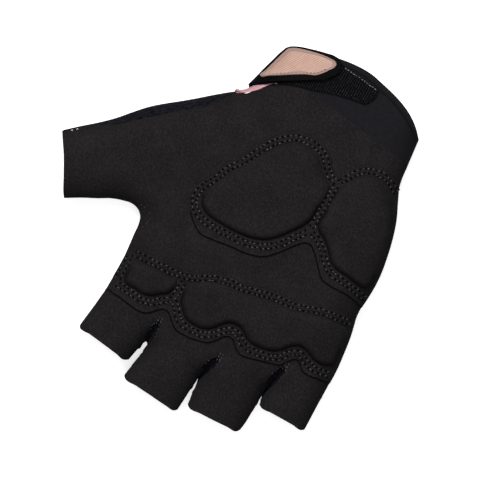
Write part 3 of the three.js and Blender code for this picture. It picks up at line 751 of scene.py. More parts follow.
class Finish:
    """A node material built by expressions on its sockets."""

    def __init__(self, name, **constants):
        self.material = bpy.data.materials.new(name)
        self.material.use_nodes = True
        self.tree = self.material.node_tree
        self.shader = self.tree.nodes["Principled BSDF"]
        for key, value in constants.items():
            self.shader.inputs[key.replace("_", " ")].default_value = value

    def node(self, kind, settings=None, values=None, output=0):
        made = self.tree.nodes.new(kind)
        for key, value in (settings or {}).items():
            if key == "stops":
                while len(made.color_ramp.elements) < len(value):
                    made.color_ramp.elements.new(0.5)
                for element, (at, color) in zip(made.color_ramp.elements, value):
                    element.position, element.color = at, (*color, 1)
            else:
                setattr(made, key, value)
        for key, value in (values or {}).items():
            if isinstance(value, Sock):
                self.tree.links.new(value.out, made.inputs[key])
            else:
                made.inputs[key].default_value = value
        return Sock(self, made.outputs[output])

    def object_point(self, scale=(1, 1, 1), turn=0.0):
        """Object coordinates in millimetres, scaled and turned about Z."""
        place = self.node("ShaderNodeTexCoord", output="Object")
        size = [s / MM for s in scale]
        return self.node("ShaderNodeMapping", None, {0: place, "Rotation": (0, 0, turn), "Scale": size})

    def noise(self, point, scale, detail=2.0, rough=0.5):
        return self.node("ShaderNodeTexNoise", None, {"Vector": point, "Scale": scale, "Detail": detail,
                                                      "Roughness": rough})

    def streaks(self, x, y, scale, detail=2.0, rough=0.5):
        """Noise drawn out along the axis whose coordinate comes in smaller."""
        return self.noise(self.node("ShaderNodeCombineXYZ", None, {0: x, 1: y}), scale, detail, rough)

    def split(self, point, axis):
        return self.node("ShaderNodeSeparateXYZ", None, {0: point}, output=axis)

    def ribs(self, point, axis, pitch):
        """A sine wave from 0 to 1 along an axis, one for each pitch in millimetres."""
        return (self.split(point, axis) * (2 * math.pi / pitch)).sin() * 0.5 + 0.5

    def shade(self):
        """How dark the piece is kept here."""
        return self.node("ShaderNodeAttribute", dict(attribute_name="shade"), output="Fac")

    def ramp(self, factor, stops):
        return self.node("ShaderNodeValToRGB", dict(stops=stops), {0: factor})

    def mix(self, factor, a, b):
        """Colour a where the factor is 0 and b where it is 1."""
        a, b = (color if isinstance(color, Sock) else (*color, 1) for color in (a, b))
        return self.node("ShaderNodeMix", dict(data_type="RGBA"), {0: factor, 6: a, 7: b}, output=2)

    def bump(self, height, strength, distance_mm):
        self.feed("Normal", self.node("ShaderNodeBump", None, {
            "Strength": strength, "Distance": distance_mm * MM, "Height": height}))

    def feed(self, name, value):
        self.tree.links.new(value.out, self.shader.inputs[name])


def tone(red, green, blue):
    """An sRGB colour of 0 to 255 as linear light."""
    return tuple(((c / 255 + 0.055) / 1.055) ** 2.4 if c > 10 else c / 255 / 12.92
                 for c in (red, green, blue))


def suede_finish():
    """Black suede: fine fibrous nap with a slight cloudiness, duller in its pores. Where a piece carries
    painted shade it is darkened towards near black.
    """
    m = Finish("suede_finish", Roughness=0.95, Specular_IOR_Level=0.04, Sheen_Weight=0.015,
               Sheen_Roughness=0.5)
    p = m.object_point()
    cloud = m.noise(p, 0.09, 3, 0.55)
    nap = m.noise(m.object_point((1.0, 0.6, 1.0), 0.5), 1.7, 2, 0.65)
    grain = m.noise(p, 4.2, 2, 0.7)
    blend = cloud * 0.12 + nap * 0.4 + grain * 0.48
    napped = m.ramp(blend, [(0.33, tone(16, 14, 15)), (0.5, tone(31, 29, 30)), (0.68, tone(50, 47, 48))])
    # Painted shade: darkened towards near black where the piece's shade attribute says, in pad grooves,
    # along cut edges and at needle holes
    m.feed("Base Color", m.mix(m.shade(), napped, tone(3, 3, 3)))
    m.feed("Roughness", 0.88 + nap * 0.12)
    m.bump(nap * 0.4 + grain * 0.6, 0.45, 0.2)
    return m.material


def knit_finish(name, dark, light, pitch, turn, grain):
    """Stretch cloth: fine diagonal ribs of two crossed sine waves, with cloudy shade and fine streaks."""
    m = Finish(name, Roughness=0.9, Specular_IOR_Level=0.08, Sheen_Weight=0.02, Sheen_Roughness=0.5)
    p = m.object_point(turn=turn)
    x, y = m.split(p, "X"), m.split(p, "Y")
    rate = 2 * math.pi / pitch
    weave = (x * rate).sin() * (y * rate * 0.5).sin() * 0.5 + 0.5
    cloud = m.noise(p, 0.2, 3, 0.6)
    streak = m.streaks(x * 0.25, y, 1.6, 3, 0.7)
    cloth = m.mix((weave * 0.3 + cloud * 0.3 + (streak - 0.5) * grain + 0.2).clamp(), dark, light)
    # Darkened towards near black by the shade attribute: painted shade, as in the cuff's hem groove
    m.feed("Base Color", m.mix(m.shade(), cloth, tone(3, 3, 4)))
    m.feed("Roughness", 0.8 + cloud * 0.2)
    m.bump(weave, 0.5, 0.12)
    return m.material


def loop_finish():
    """Napped loop tape: a fuzz of tiny loops over its woven ribs."""
    m = Finish("loop_finish", Roughness=0.9, Specular_IOR_Level=0.06, Sheen_Weight=0.02, Sheen_Roughness=0.4)
    p = m.object_point()
    fuzz = m.noise(p, 2.4, 3, 0.8)
    ribs = (m.split(p, "X") * (2 * math.pi / 0.98) + m.noise(p, 0.5) * 3).sin()
    stops = [(0.35, tone(2, 2, 3)), (0.6, tone(15, 15, 17)), (0.85, tone(68, 68, 72))]
    m.feed("Base Color", m.ramp(ribs * 0.14 + fuzz, stops))
    m.bump(fuzz * 0.6 + ribs * 0.5, 0.9, 0.35)
    return m.material


def binding_finish():
    """Woven edge binding: smooth black rib with a slight gloss."""
    m = Finish("binding_finish", Roughness=0.8, Specular_IOR_Level=0.04)
    p = m.object_point(turn=0.6)
    rib = m.ribs(p, "X", 0.5)
    cloud = m.noise(p, 0.6, 3)
    m.feed("Base Color", m.mix((rib * 0.4 + cloud * 0.5).clamp(), tone(3, 3, 3), tone(11, 10, 12)))
    m.feed("Roughness", 0.5 + cloud * 0.25)
    m.bump(rib, 0.4, 0.1)
    return m.material


def inlay_finish():
    """Pale ribbed tape: fine warp ribs across the tab, with slubs and a little soiling."""
    m = Finish("inlay_finish", Roughness=0.75, Specular_IOR_Level=0.3, Sheen_Weight=0.1)
    p = m.object_point(turn=0.52)
    rib, weft = m.ribs(p, "X", 0.8), m.ribs(p, "Y", 0.4)
    slub = m.streaks(m.split(p, "X"), m.split(p, "Y") * 0.15, 1.6)
    cloud = m.noise(p, 0.15)
    blend = (rib * 0.35 + weft * 0.1 + slub * 0.35 + cloud * 0.3).clamp()
    stops = [(0.25, tone(170, 132, 117)), (0.5, tone(190, 151, 136)), (0.8, tone(206, 175, 161))]
    m.feed("Base Color", m.mix(m.shade(), m.ramp(blend, stops), tone(158, 132, 124)))
    m.bump(rib + weft * 0.4, 0.45, 0.12)
    return m.material


def trim_finish():
    """Pink knitted trim with small loops."""
    m = Finish("trim_finish", Roughness=0.85, Specular_IOR_Level=0.2, Sheen_Weight=0.1)
    p = m.object_point(turn=0.8)
    rib = m.ribs(p, "X", 0.7)
    blend = (rib * 0.5 + m.noise(p, 0.8, 3) * 0.5).clamp()
    m.feed("Base Color", m.mix(blend, tone(186, 132, 141), tone(220, 172, 179)))
    m.bump(rib, 0.5, 0.15)
    return m.material


def thread_finish(name, dark, light, gloss=0.1):
    """Twisted sewing thread: a fast slanted stripe, worn lighter and darker along the seam."""
    m = Finish(name, Roughness=0.8, Specular_IOR_Level=gloss)
    p = m.object_point(turn=0.7)
    twist = m.ribs(p, "X", 0.3)
    wear = (m.noise(p, 0.45) - 0.5) * 2.4
    m.feed("Base Color", m.mix((twist * 0.3 + wear + 0.35).clamp(), dark, light))
    m.bump(twist, 0.4, 0.05)
    return m.material


SUEDE_LOOK = suede_finish()
CUFF_LOOK = knit_finish("cuff_finish", tone(20, 20, 23), tone(31, 31, 35), 0.7, 0.3, 2.0)
BACK_LOOK = knit_finish("back_finish", tone(19, 19, 22), tone(31, 31, 35), 0.8, 0.0, 2.6)
NAVY_LOOK = knit_finish("navy_finish", tone(2, 2, 5), tone(26, 26, 35), 0.75, -0.75, 6.0)
# A darker copy of the navy strip's finish for the strips between the fingers: painted shade, as they sit in
# the slits
SHADED_CROTCH_LOOK = knit_finish("crotch_painted_shade_finish", tone(2, 2, 4), tone(16, 16, 28), 0.75, 0.3, 6.0)
LOOP_LOOK = loop_finish()
BINDING_LOOK = binding_finish()
INLAY_LOOK = inlay_finish()
TRIM_LOOK = trim_finish()
THREAD_LOOK = thread_finish("thread_finish", tone(26, 25, 26), tone(90, 88, 89))
LIGHT_THREAD_LOOK = thread_finish("light_thread_finish", tone(70, 70, 72), tone(150, 150, 152))
WHITE_THREAD_LOOK = thread_finish("white_thread_finish", tone(190, 190, 192), tone(240, 240, 242))
# Near-black finish of the needle-hole fans: painted shade inside the holes
HOLE_SHADE_LOOK = thread_finish("needle_hole_painted_shade_finish", tone(6, 6, 6), tone(13, 12, 12), gloss=0.0)


def side_between(key, start, end, shares):
    """The stretch of a side edge between two places on it, at shares of its length."""
    line = smooth(SIDES[key], SIDE_SAMPLES)
    first, last = (np.linalg.norm(line - np.array(p, float), axis=1).argmin() for p in (start, end))
    stretch = line[first:last + 1] if first < last else line[last:first + 1][::-1]
    length = arc_share(stretch)
    picked = np.stack([np.interp(shares, length, stretch[:, k]) for k in (0, 1)], 1)
    picked[0], picked[-1] = start, end
    return picked


def glove_plan(upper_edge):
    """Plan grids of body, thumb and the four fingers. upper_edge is the thumb's upper border."""
    cols = crowded(FINGER_COLS + 1)
    knuckles = [KNUCKLE_LEFT, *CREASES.values(), KNUCKLE_RIGHT]
    base = [between(a, b, cols) + np.array([0, bow]) * (4 * cols * (1 - cols))[:, None]
            for a, b, bow in zip(knuckles, knuckles[1:], KNUCKLE_BOWS)]
    low = np.concatenate([base[0]] + [line[1:] for line in base[1:]])
    rows_low = np.linspace(0, 1, BODY_ROWS_LOW) ** ROW_CROWDING
    rows_high = crowded(BODY_ROWS_HIGH)
    left_low = side_between("thumb_lower", KNUCKLE_LEFT, THUMB_CROTCH, rows_low)
    root = between(THUMB_CROTCH, WRIST_CORNER, rows_high)
    left = np.concatenate([left_low, root[1:]])
    split = arc_share(left)[BODY_ROWS_LOW - 1]
    right_shares = np.concatenate([split * rows_low, split + (1 - split) * rows_high[1:]])
    right = side_between("little", KNUCKLE_RIGHT, CUFF_SEAM[-1], right_shares)
    reach = np.linspace(0, 1, THUMB_COLS)
    lower = side_between("thumb_lower", THUMB_CROTCH, THUMB_MOUTH[0], reach)
    grids = {
        "body": patch(low, smooth(CUFF_SEAM, arc_share(low)), left, right),
        "thumb": patch(lower, smooth(upper_edge, reach), root, smooth(THUMB_MOUTH, rows_high)),
    }
    down = np.linspace(0, 1, FINGER_ROWS)
    edge = {key: smooth(points, down) for key, points in FINGER_EDGES.items()}
    fingers = {
        "index": (side_between("thumb_lower", KNUCKLE_LEFT, HEM["index"][0], down), edge["index_right"]),
        "middle": (edge["middle_left"], edge["middle_right"]),
        "ring": (edge["ring_left"], edge["ring_right"]),
        "little": (edge["little_left"], side_between("little", KNUCKLE_RIGHT, HEM["little"][-1], down)),
    }
    for line, (finger, (one, other)) in zip(base, fingers.items()):
        grids[finger] = patch(line, smooth(HEM[finger], cols), one, other)
    return grids


silhouette_upper = side_between("thumb_upper", WRIST_CORNER, THUMB_MOUTH[-1], np.linspace(0, 1, 40))
palm_sheets = [palm_surface(grid) for grid in glove_plan(GUSSET_SEAM).values()]
back_sheets = [back_surface(grid) for grid in glove_plan(silhouette_upper).values()]
cloth_piece("palm_suede", palm_sheets, SUEDE, SUEDE_LOOK, ["palm_panel"])
cloth_piece("back_cloth", back_sheets, STRETCH, BACK_LOOK, ["back_panel"], rim=0)


def cuff_sleeve():
    """Cuff: the palm side and the back side of the wrist, joined along both sides, with a sewn hem line. The
    line is a groove of a bell's form at a set distance from the hem. Returns the sheets and the painted
    shade in that groove."""
    rows, cols = CUFF_GRID
    across, side = crowded(cols), np.linspace(0, 1, rows)
    left = side_between("thumb_upper", CUFF_FOOT[0], CUFF_HEM[0], side)
    right = side_between("little", CUFF_FOOT[-1], CUFF_HEM[-1], side)
    plan = patch(smooth(CUFF_FOOT, across), smooth(CUFF_HEM, across), left, right)
    to_hem = np.linalg.norm(plan - plan[-1:], axis=-1)
    groove = np.exp(-(((to_hem - HEM_WIDTH) / HEM_LINE) ** 2))
    depth = HEM_DEPTH * groove * np.clip(edge_distance(plan)[0] / HEM_FADE, 0, 1)
    sheets = []
    for surface in (palm_surface, back_surface):
        place, normal = surface(plan)
        place = place - normal * depth[..., None]
        place[:, [0, -1], 2] = SEAM
        sheets.append((place, normal))
    return sheets, np.tile(HEM_PAINTED_SHADE * groove.reshape(-1), 2)


cuff_sheets, cuff_shade = cuff_sleeve()
cloth_piece("cuff_sleeve", cuff_sheets, CUFF, CUFF_LOOK, ["cuff"], rim=0, shade=cuff_shade)


def gusset_strip():
    """Thumb strip: from the suede's edge over the thumb's upper side and a little way under it."""
    rows, cols = GUSSET_GRID
    run = np.linspace(0, 1, cols)
    inner = smooth(GUSSET_SEAM, run)
    outer = side_between("thumb_upper", WRIST_CORNER, THUMB_MOUTH[-1], run)
    over = inner[None] + (outer - inner)[None] * crowded(rows)[:, None, None]
    away = edge_distance(outer)[1]
    under = outer[None] + away[None] * (GUSSET_TUCK * np.linspace(0, 1, TUCK_ROWS) ** 2)[:, None, None]
    top, normal = palm_surface(over)
    return [(top - normal * GUSSET_SUNK, normal), back_surface(under)]


cloth_piece("thumb_strip", gusset_strip(), STRETCH, NAVY_LOOK, ["thumb_gusset"], rim=0)


def fourchette(gap, tip, one, other):
    """U-shaped strip between two fingers, carried down one finger and up the next: at each place a curve
    through the suede's edge, the side edge at the widest and an edge under the fingers."""
    rows, cols = FOURCHETTE_GRID
    shares = np.linspace(0, 1, cols)
    suede = [smooth(FINGER_EDGES[key], shares) for key in (one, other)]
    sides = [side_between(gap, tip, edge[-1], shares) for edge in suede]
    upper, waist = (np.concatenate([pair[0][::-1], pair[1][1:]]) for pair in (suede, sides))
    top, normal = palm_surface(upper)
    away = edge_distance(waist)[1]
    middle = np.concatenate([waist, np.full((len(waist), 1), SEAM - FOURCHETTE_DROP)], 1)
    foot = back_surface(waist + away * FOURCHETTE_TUCK)[0]
    v = np.linspace(0, 1, rows)[:, None, None]
    grid = ((1 - v) * (1 - 2 * v) * (top - normal * FOURCHETTE_SUNK)[None] + 4 * v * (1 - v) * middle[None]
            + v * (2 * v - 1) * foot[None])
    outside = np.concatenate([-away, np.full((len(away), 1), 0.15)], 1)
    return [(grid, np.broadcast_to(outside, grid.shape))]


for node, between_fingers in FOURCHETTES.items():
    strip = fourchette(*between_fingers)
    cloth_piece(node + "_strip", strip, FOURCHETTE, SHADED_CROTCH_LOOK, [node], rim=0)


def overlay_sheet(low, high, thumb_side, little_side, grid):
    """Second layer of suede: a patch between its four edges, lying on the palm. Its lower and upper edges
    are cut faces, with a painted shadow along the lower one and lighter painted shade along the upper one.
    Returns the sheet and its painted shade."""
    rows, cols = grid
    across = crowded(cols) * (1 - EVEN_SHARE) + np.linspace(0, 1, cols) * EVEN_SHARE
    up = np.linspace(0, 1, rows)
    left = smooth(thumb_side, up) if thumb_side else np.repeat(np.array([low[0]], float), rows, 0)
    plan = patch(smooth(low, across), smooth(high, across), left, smooth(little_side, up))
    borders = []
    for edge, inner in ((plan[0], plan[1]), (plan[-1], plan[-2])):
        ahead = np.gradient(edge, axis=0)
        beside = unit(np.stack([ahead[:, 1], -ahead[:, 0]], 1))
        turn = np.sign(((edge - inner) * beside).sum(1, keepdims=True))
        borders += [edge + beside * turn * CUT_WIDTH, edge - beside * turn * CUT_LIP]
    foot, lip, far_foot, far_lip = borders
    plan = np.concatenate([[foot, plan[0], lip], plan[1:-1], [far_lip, plan[-1], far_foot]])
    height = np.full(plan.shape[:2], OVERLAY)
    height[[0, -1]] = CUT_FOOT
    # Painted shade: a painted shadow along the lower cut edge, which faces away from the lamp, and lighter
    # painted shade along the upper one
    shade = np.zeros(plan.shape[:2])
    shade[:2] = 1
    shade[-2:] = FAR_CUT_PAINTED_SHADE
    return [lifted(plan, height)], shade


for piece_name, node, grid, edges in (
        ("heel_layer", "heel_overlay", HEEL_GRID, (HEEL_LOW, HEEL_HIGH, None, HEEL_SIDE)),
        ("knuckle_layer", "knuckle_overlay", KNUCKLE_GRID,
         (KNUCKLE_LOW, KNUCKLE_HIGH, KNUCKLE_THUMB_SIDE, KNUCKLE_SIDE))):
    sheets, shade = overlay_sheet(*edges, grid)
    cloth_piece(piece_name, sheets, OVERLAY - OVERLAY_GAP, SUEDE_LOOK, [node], rim=0, shade=shade)


def cell_mesh(cell):
    """Padded cell before it is filled: a lens between a lower and a higher edge that meet at both ends, its
    height a rounded shoulder along its edge and a slow crown inside. Returns its points and faces, how
    firmly each point is held, and its painted shade along the lower edge."""
    rows, cols = CELL_GRID
    across = crowded(cols)
    low, high = smooth(cell["low"], across), smooth(cell["high"], across)
    plan = low[None] + (high - low)[None] * crowded(rows)[:, None, None]
    border = np.concatenate([low, high[-2::-1]])
    depth = edge_distance(plan, edges_of([border[::3]]))[0].clip(0)
    rise = (SHOULDER_SHARE * rounded(depth / SHOULDER, 2)[0]
            + (1 - SHOULDER_SHARE) * rounded(depth / CROWN_REACH, 2)[0])
    rise[[0, -1]] = 0
    rise[:, [0, -1]] = 0
    top = lifted(plan, OVERLAY - OVERLAY_GAP + PAD_RISE * rise)[0]
    under = lifted(plan, OVERLAY - PAD_UNDER)[0]
    faces = grid_faces(rows, cols)
    count = rows * cols
    points = np.concatenate([top.reshape(-1, 3), under.reshape(-1, 3)])
    up = np.tile([0.0, 0.0, 1.0], (len(points), 1))
    index = np.arange(count).reshape(rows, cols)
    ring = np.concatenate([index[0], index[1:, -1], index[-1, -2::-1], index[-2::-1, 0]])
    walls = np.stack([ring[:-1], ring[1:], ring[1:] + count, ring[:-1] + count], -1)
    walls = outward(points, walls, points - points[ring].mean(0))
    faces = np.concatenate([outward(points, faces, up), outward(points, faces + count, -up), walls])
    held = np.concatenate([1 - np.clip(rise * 1.3, 0, 1).reshape(-1), np.ones(count)])
    # Painted shade along the lower edge, which faces away from the lamp, fading out inwards
    to_low = edge_distance(plan, edges_of([cell["low"]]))[0].clip(0)
    shade = GROOVE_PAINTED_SHADE * np.clip(1 - to_low / GROOVE_REACH, 0, 1).reshape(-1) ** 1.5
    return points, faces, held, np.tile(shade, 2)


def fill_cells(shapes):
    """Fills all the padded cells at once: cloth under inner pressure at a larger size, the rims held. Each
    point moves at most a set distance from where it began, by a hyperbolic tangent of its move."""
    size, most = FILLING_SIZE, FILLING_MOVE
    points = np.concatenate([s[0] for s in shapes])
    first = np.cumsum([0] + [len(s[0]) for s in shapes])
    faces = [f for s, start in zip(shapes, first) for f in (s[1] + start).tolist()]
    held = np.concatenate([s[2] for s in shapes])
    centre = points.mean(0)
    mesh = bpy.data.meshes.new("filling")
    mesh.from_pydata(((points - centre) * size * MM).tolist(), [], faces)
    body = bpy.data.objects.new("filling", mesh)
    bpy.context.scene.collection.objects.link(body)
    group = body.vertex_groups.new(name="held")
    for level in range(11):
        chosen = np.flatnonzero(np.round(held * 10) == level)
        if len(chosen):
            group.add(chosen.tolist(), level / 10, "REPLACE")
    cloth = body.modifiers.new("cloth", "CLOTH")
    s = cloth.settings
    s.quality = 6
    s.mass = 0.3
    s.tension_stiffness = s.compression_stiffness = 12
    s.shear_stiffness = 6
    s.bending_stiffness = 0.4
    s.vertex_group_mass = "held"
    s.use_pressure = True
    s.uniform_pressure_force = 6
    s.shrink_min = -0.02
    s.effector_weights.gravity = 0
    cloth.collision_settings.use_collision = False
    cloth.collision_settings.use_self_collision = False
    scene = bpy.context.scene
    for step in range(1, FILLING_STEPS + 1):
        scene.frame_set(step)
    result = body.evaluated_get(bpy.context.evaluated_depsgraph_get()).to_mesh()
    moved = np.empty(len(points) * 3, np.float32)
    result.vertices.foreach_get("co", moved)
    moved = moved.reshape(-1, 3) / (size * MM) + centre
    scene.frame_set(1)
    bpy.data.objects.remove(body)
    move = moved - points
    length = np.linalg.norm(move, axis=1, keepdims=True)
    capped = points + move * (most * np.tanh(length / most) / np.maximum(length, TINY))
    return [capped[a:b] for a, b in zip(first, first[1:])]


cell_shapes = {name: cell_mesh(cell) for name, cell in CELLS.items()}
filled = fill_cells(list(cell_shapes.values()))
for (name, (_, faces, _, shade)), points in zip(cell_shapes.items(), filled):
    clean, clean_faces, kept = merged(points, faces)
    cushion = make_piece(name + "_cushion", clean, clean_faces, SUEDE_LOOK, [name])
    darken(cushion, shade[kept])


def loop_tape():
    """Loop patch: a sheet on the cuff between its four edges."""
    up, across = (np.linspace(0, 1, count) for count in LOOP_GRID)
    low, high = smooth(LOOP_LOW, across), smooth(LOOP_HIGH, across)
    return lifted(patch(low, high, smooth(LOOP_SIDE, up), smooth(LOOP_END, up)), LOOP)


cloth_piece("loop_tape", [loop_tape()], LOOP - LOOP_GAP, LOOP_LOOK, ["loop_patch"], rim=0.2)


def strap_tab():
    """Closure tab: a patch over the wrist, carried round the thumb side and a little way under it."""
    rows, cols = TAB_GRID
    across, up = crowded(cols), np.linspace(0, 1, rows)
    left = smooth(STRAP_SIDE, up)
    plan = patch(smooth(STRAP_LOW, across), smooth(STRAP_HIGH, across), left, smooth(STRAP_END, up))
    top, normal = tab_surface(plan)
    top[:, 0, 2] = SEAM
    away = np.repeat(edge_distance(left, TAB_EDGES)[1][:, None], TUCK_ROWS, 1)
    reach = np.tile(TAB_TUCK * np.linspace(0, 1, TUCK_ROWS) ** 1.5, (rows, 1))
    under = dome(left[:, None] + away * reach[..., None], reach, away, SEAM, LOWER_ROLL + STRAP_TOP,
                 LOWER_ROUND, side=-1)
    return [(top, normal), under]


cloth_piece("closure_tab", strap_tab(), STRAP, BINDING_LOOK, ["closure_strap"], rim=0)


def inlay_plate():
    """Woven inlay of the tab: rings drawn in from its outline, a raised sewn rim first, then the middle,
    closed by a cap above and one below. Returns its points and faces and how dark each point is."""
    line = closed_curve(INLAY_OUTLINE, INLAY_COUNT)
    middle = line.mean(0)
    reach = np.linalg.norm(line - middle, axis=1)
    inset, height = np.array(INLAY_RIM).T
    inner = np.linspace(1, INLAY_CENTRE, INLAY_RINGS + 1)[1:, None]
    shares = np.concatenate([1 - inset[:, None] / reach[None], (1 - inset[-1] / reach)[None] * inner])
    heights = np.concatenate([height, np.full(INLAY_RINGS, height[-1])])
    plan = middle + (line - middle)[None] * shares[..., None]
    place, normal = tab_surface(plan, np.repeat(heights[:, None], INLAY_COUNT, 1))
    closed, normals = (np.concatenate([a, a[:, :1]], axis=1).reshape(-1, 3) for a in (place, normal))
    faces = outward(closed, grid_faces(len(shares), INLAY_COUNT + 1), normals)
    points, quads, kept = merged(closed, faces)
    rim = np.repeat(np.interp(np.arange(len(shares)), *INLAY_RIM_SHADE), INLAY_COUNT + 1)[kept]
    order = {tuple(p): k for k, p in enumerate(np.round(points, 2).tolist())}
    top, foot = ([order[tuple(p)] for p in np.round(place[k], 2).tolist()] for k in (-1, 0))
    turn = np.cross(points[top[1]] - points[top[0]], points[top[2]] - points[top[1]])[2] > 0
    quads += [top if turn else top[::-1], foot[::-1] if turn else foot]
    return points, quads, rim


points, faces, rim = inlay_plate()
darken(make_piece("inlay_panel", points, faces, INLAY_LOOK, ["strap_inlay"]), rim)


def trim_strip():
    """Pink trim: a strip between the suede and the tab along the wrist's side, its crown half a sine."""
    rows, cols = TRIM_GRID
    run, share = np.linspace(0, 1, cols), crowded(rows)[:, None, None]
    low, high = smooth(TRIM_LOW, run), smooth(TRIM_HIGH, run)
    crown = TRIM_EDGE + TRIM_CROWN * np.sin(np.pi * share[..., 0]) * np.ones(cols)
    return lifted(low + (high - low) * share, crown)


cloth_piece("pink_trim", [trim_strip()], TRIM, TRIM_LOOK, ["wrist_trim"], rim=0)


def walk(midline, pitch, phase, sideways=0.0):
    """Places at even steps along a smooth line, moved sideways from it, and the direction at each."""
    line = smooth(midline, WALK_SAMPLES)
    length = run_length(line)
    ahead = unit(np.gradient(line, axis=0))
    at = np.arange(phase * pitch, length[-1], pitch)
    place, turn = (np.stack([np.interp(at, length, values[:, k]) for k in (0, 1)], 1)
                   for values in (line, ahead))
    turn = unit(turn)
    return place + sideways * np.stack([-turn[:, 1], turn[:, 0]], 1), turn


def stitch_set(places, turns, height, length, width, surface=lifted):
    """Stitches: short rods, round in section, arched so that both ends dive into the cloth."""
    base, normal = surface(places, height)
    run = unit(np.concatenate([turns, np.zeros((len(turns), 1))], 1)
               - normal * (normal[:, :2] * turns).sum(1)[:, None])
    side = np.cross(normal, run)
    rings = len(ROD_PROFILE)
    t = np.linspace(-1, 1, rings)
    radius = width / 2 * np.array(ROD_PROFILE)
    angle = np.arange(ROD_SIDES) * 2 * np.pi / ROD_SIDES
    x = t[:, None] * length / 2 * np.ones(ROD_SIDES)
    y = radius[:, None] * np.cos(angle)
    z = radius[:, None] * np.sin(angle) * 0.8 + (0.5 * width * (1 - t**2) - 0.1)[:, None]
    local = np.stack([x, y, z], -1).reshape(-1, 3)
    points = base[:, None] + np.einsum("pc,kcd->kpd", local, np.stack([run, side, normal], 1))
    index = np.arange(rings * ROD_SIDES).reshape(rings, ROD_SIDES)
    wrap = np.concatenate([index, index[:, :1]], 1)
    quads = np.stack([wrap[:-1, :-1], wrap[:-1, 1:], wrap[1:, 1:], wrap[1:, :-1]], -1).reshape(-1, 4)
    quads = outward(local, quads, local)
    shift = (np.arange(len(places)) * len(local))[:, None, None]
    faces = (quads[None] + shift).reshape(-1, 4).tolist()
    ends = np.stack([index[0], index[-1][::-1]])
    if np.cross(local[ends[0, 1]] - local[ends[0, 0]], local[ends[0, 2]] - local[ends[0, 1]])[0] > 0:
        ends = ends[:, ::-1]
    faces += (ends[None] + shift).reshape(-1, ROD_SIDES).tolist()
    return points.reshape(-1, 3), faces


def painted_hole_shade(places, height, size):
    """Painted shade of needle holes: small dark hexagonal fans a hair above the cloth."""
    base, normal = lifted(places, height)
    run = unit(np.cross(normal, [0.0, 1.0, 0.1]))
    side = np.cross(normal, run)
    angle = (np.arange(6) * np.pi / 3)[None, :, None]
    ring = base[:, None] + size / 2 * (np.cos(angle) * run[:, None] + np.sin(angle) * side[:, None])
    points = np.concatenate([ring, (base + normal * 0.06)[:, None]], 1)
    fan = np.array([(k, (k + 1) % 6, 6) for k in range(6)])
    sample = points[0]
    if (np.cross(sample[1] - sample[0], sample[6] - sample[0]) * normal[0]).sum() < 0:
        fan = fan[:, ::-1]
    shift = (np.arange(len(places)) * 7)[:, None, None]
    return points.reshape(-1, 3), (fan[None] + shift).reshape(-1, 3).tolist()


def joined(sets):
    """Several point and face sets as one."""
    points, faces, count = [], [], 0
    for some_points, some_faces in sets:
        points.append(some_points)
        faces += [[v + count for v in face] for face in some_faces]
        count += len(some_points)
    return np.concatenate(points), faces


def welt(midline):
    """Sewn band: the suede swells between and beside the two rows of stitches, and dips at each needle hole.
    Its height is a flat arch less a bell on each row, deeper by a wave along the row. Its shade is painted
    shade in the dips of each row, darkest at the needle holes."""
    centre, ahead = walk(midline, STITCH_PITCH / WELT_STEPS, 1)
    at = (1 + np.arange(len(centre))) / WELT_STEPS
    side = np.stack([-ahead[:, 1], ahead[:, 0]], 1)
    offset = np.linspace(-WELT_HALF, WELT_HALF, WELT_COLS)
    plan = centre[:, None] + side[:, None] * offset[None, :, None]
    arch = WELT_RISE * np.sqrt(np.clip(1 - (offset / WELT_HALF) ** 2, 0, 1))[None]
    rows = [(np.exp(-(((offset - sign * STITCH_SPREAD) / DIP_WIDTH) ** 2))[None],
             np.cos(2 * np.pi * (at - phase - 0.5))[:, None]) for sign, phase in STITCH_ROWS]
    dips = sum(bell * (0.65 + 0.35 * wave) for bell, wave in rows)
    # Painted shade in the dips of each row, darkest at the needle holes
    shade = sum(bell * np.clip(0.35 + 0.9 * wave, 0.1, 1) for bell, wave in rows)
    ends = np.clip(np.minimum(at, at[-1] - at), 0, 1)[:, None]
    return lifted(plan, OVERLAY + (arch - WELT_RISE * dips) * ends - WELT_SUNK), np.clip(shade, 0, 1)


chance = np.random.default_rng(7)


def wander(places, spread):
    """The places, each moved a little by chance."""
    return places + chance.normal(0, spread, places.shape)


def sewn(name, sets, look):
    """One piece made of several point and face sets."""
    points, faces = joined(sets)
    return make_piece(name, points, faces, look)


def double_rows():
    """Sewn bands with two rows of leaning stitches each, and the painted shade of a needle hole between each
    two stitches.
    """
    bands, shades, stitches, holes = [], [], [], []
    for midline in DOUBLE_ROWS.values():
        (band, normals), shade = welt(midline)
        shades.append(shade.reshape(-1))
        flat = band.reshape(-1, 3)
        faces = outward(flat, grid_faces(*band.shape[:2]), normals.reshape(-1, 3))
        bands.append((flat, faces.tolist()))
        for sign, phase in STITCH_ROWS:
            places, turns = walk(midline, STITCH_PITCH, phase, sign * STITCH_SPREAD)
            lean = chance.normal(STITCH_LEAN * sign, LEAN_SPREAD, len(turns))[:, None]
            leaning = unit(turns + lean * np.stack([-turns[:, 1], turns[:, 0]], 1))
            threads = wander(places, STITCH_WANDER)
            stitches.append(stitch_set(threads, leaning, OVERLAY + STITCH_LIFT, STITCH_LENGTH, STITCH_WIDTH))
            pricked = walk(midline, STITCH_PITCH, phase - 0.5, sign * STITCH_SPREAD)[0]
            holes.append(painted_hole_shade(wander(pricked, HOLE_WANDER), OVERLAY + HOLE_LIFT, HOLE_SIZE))
    darken(sewn("sewn_bands", bands, SUEDE_LOOK), np.concatenate(shades))
    sewn("pad_stitches", stitches, THREAD_LOOK)
    sewn("pad_needle_hole_shades", holes, HOLE_SHADE_LOOK)


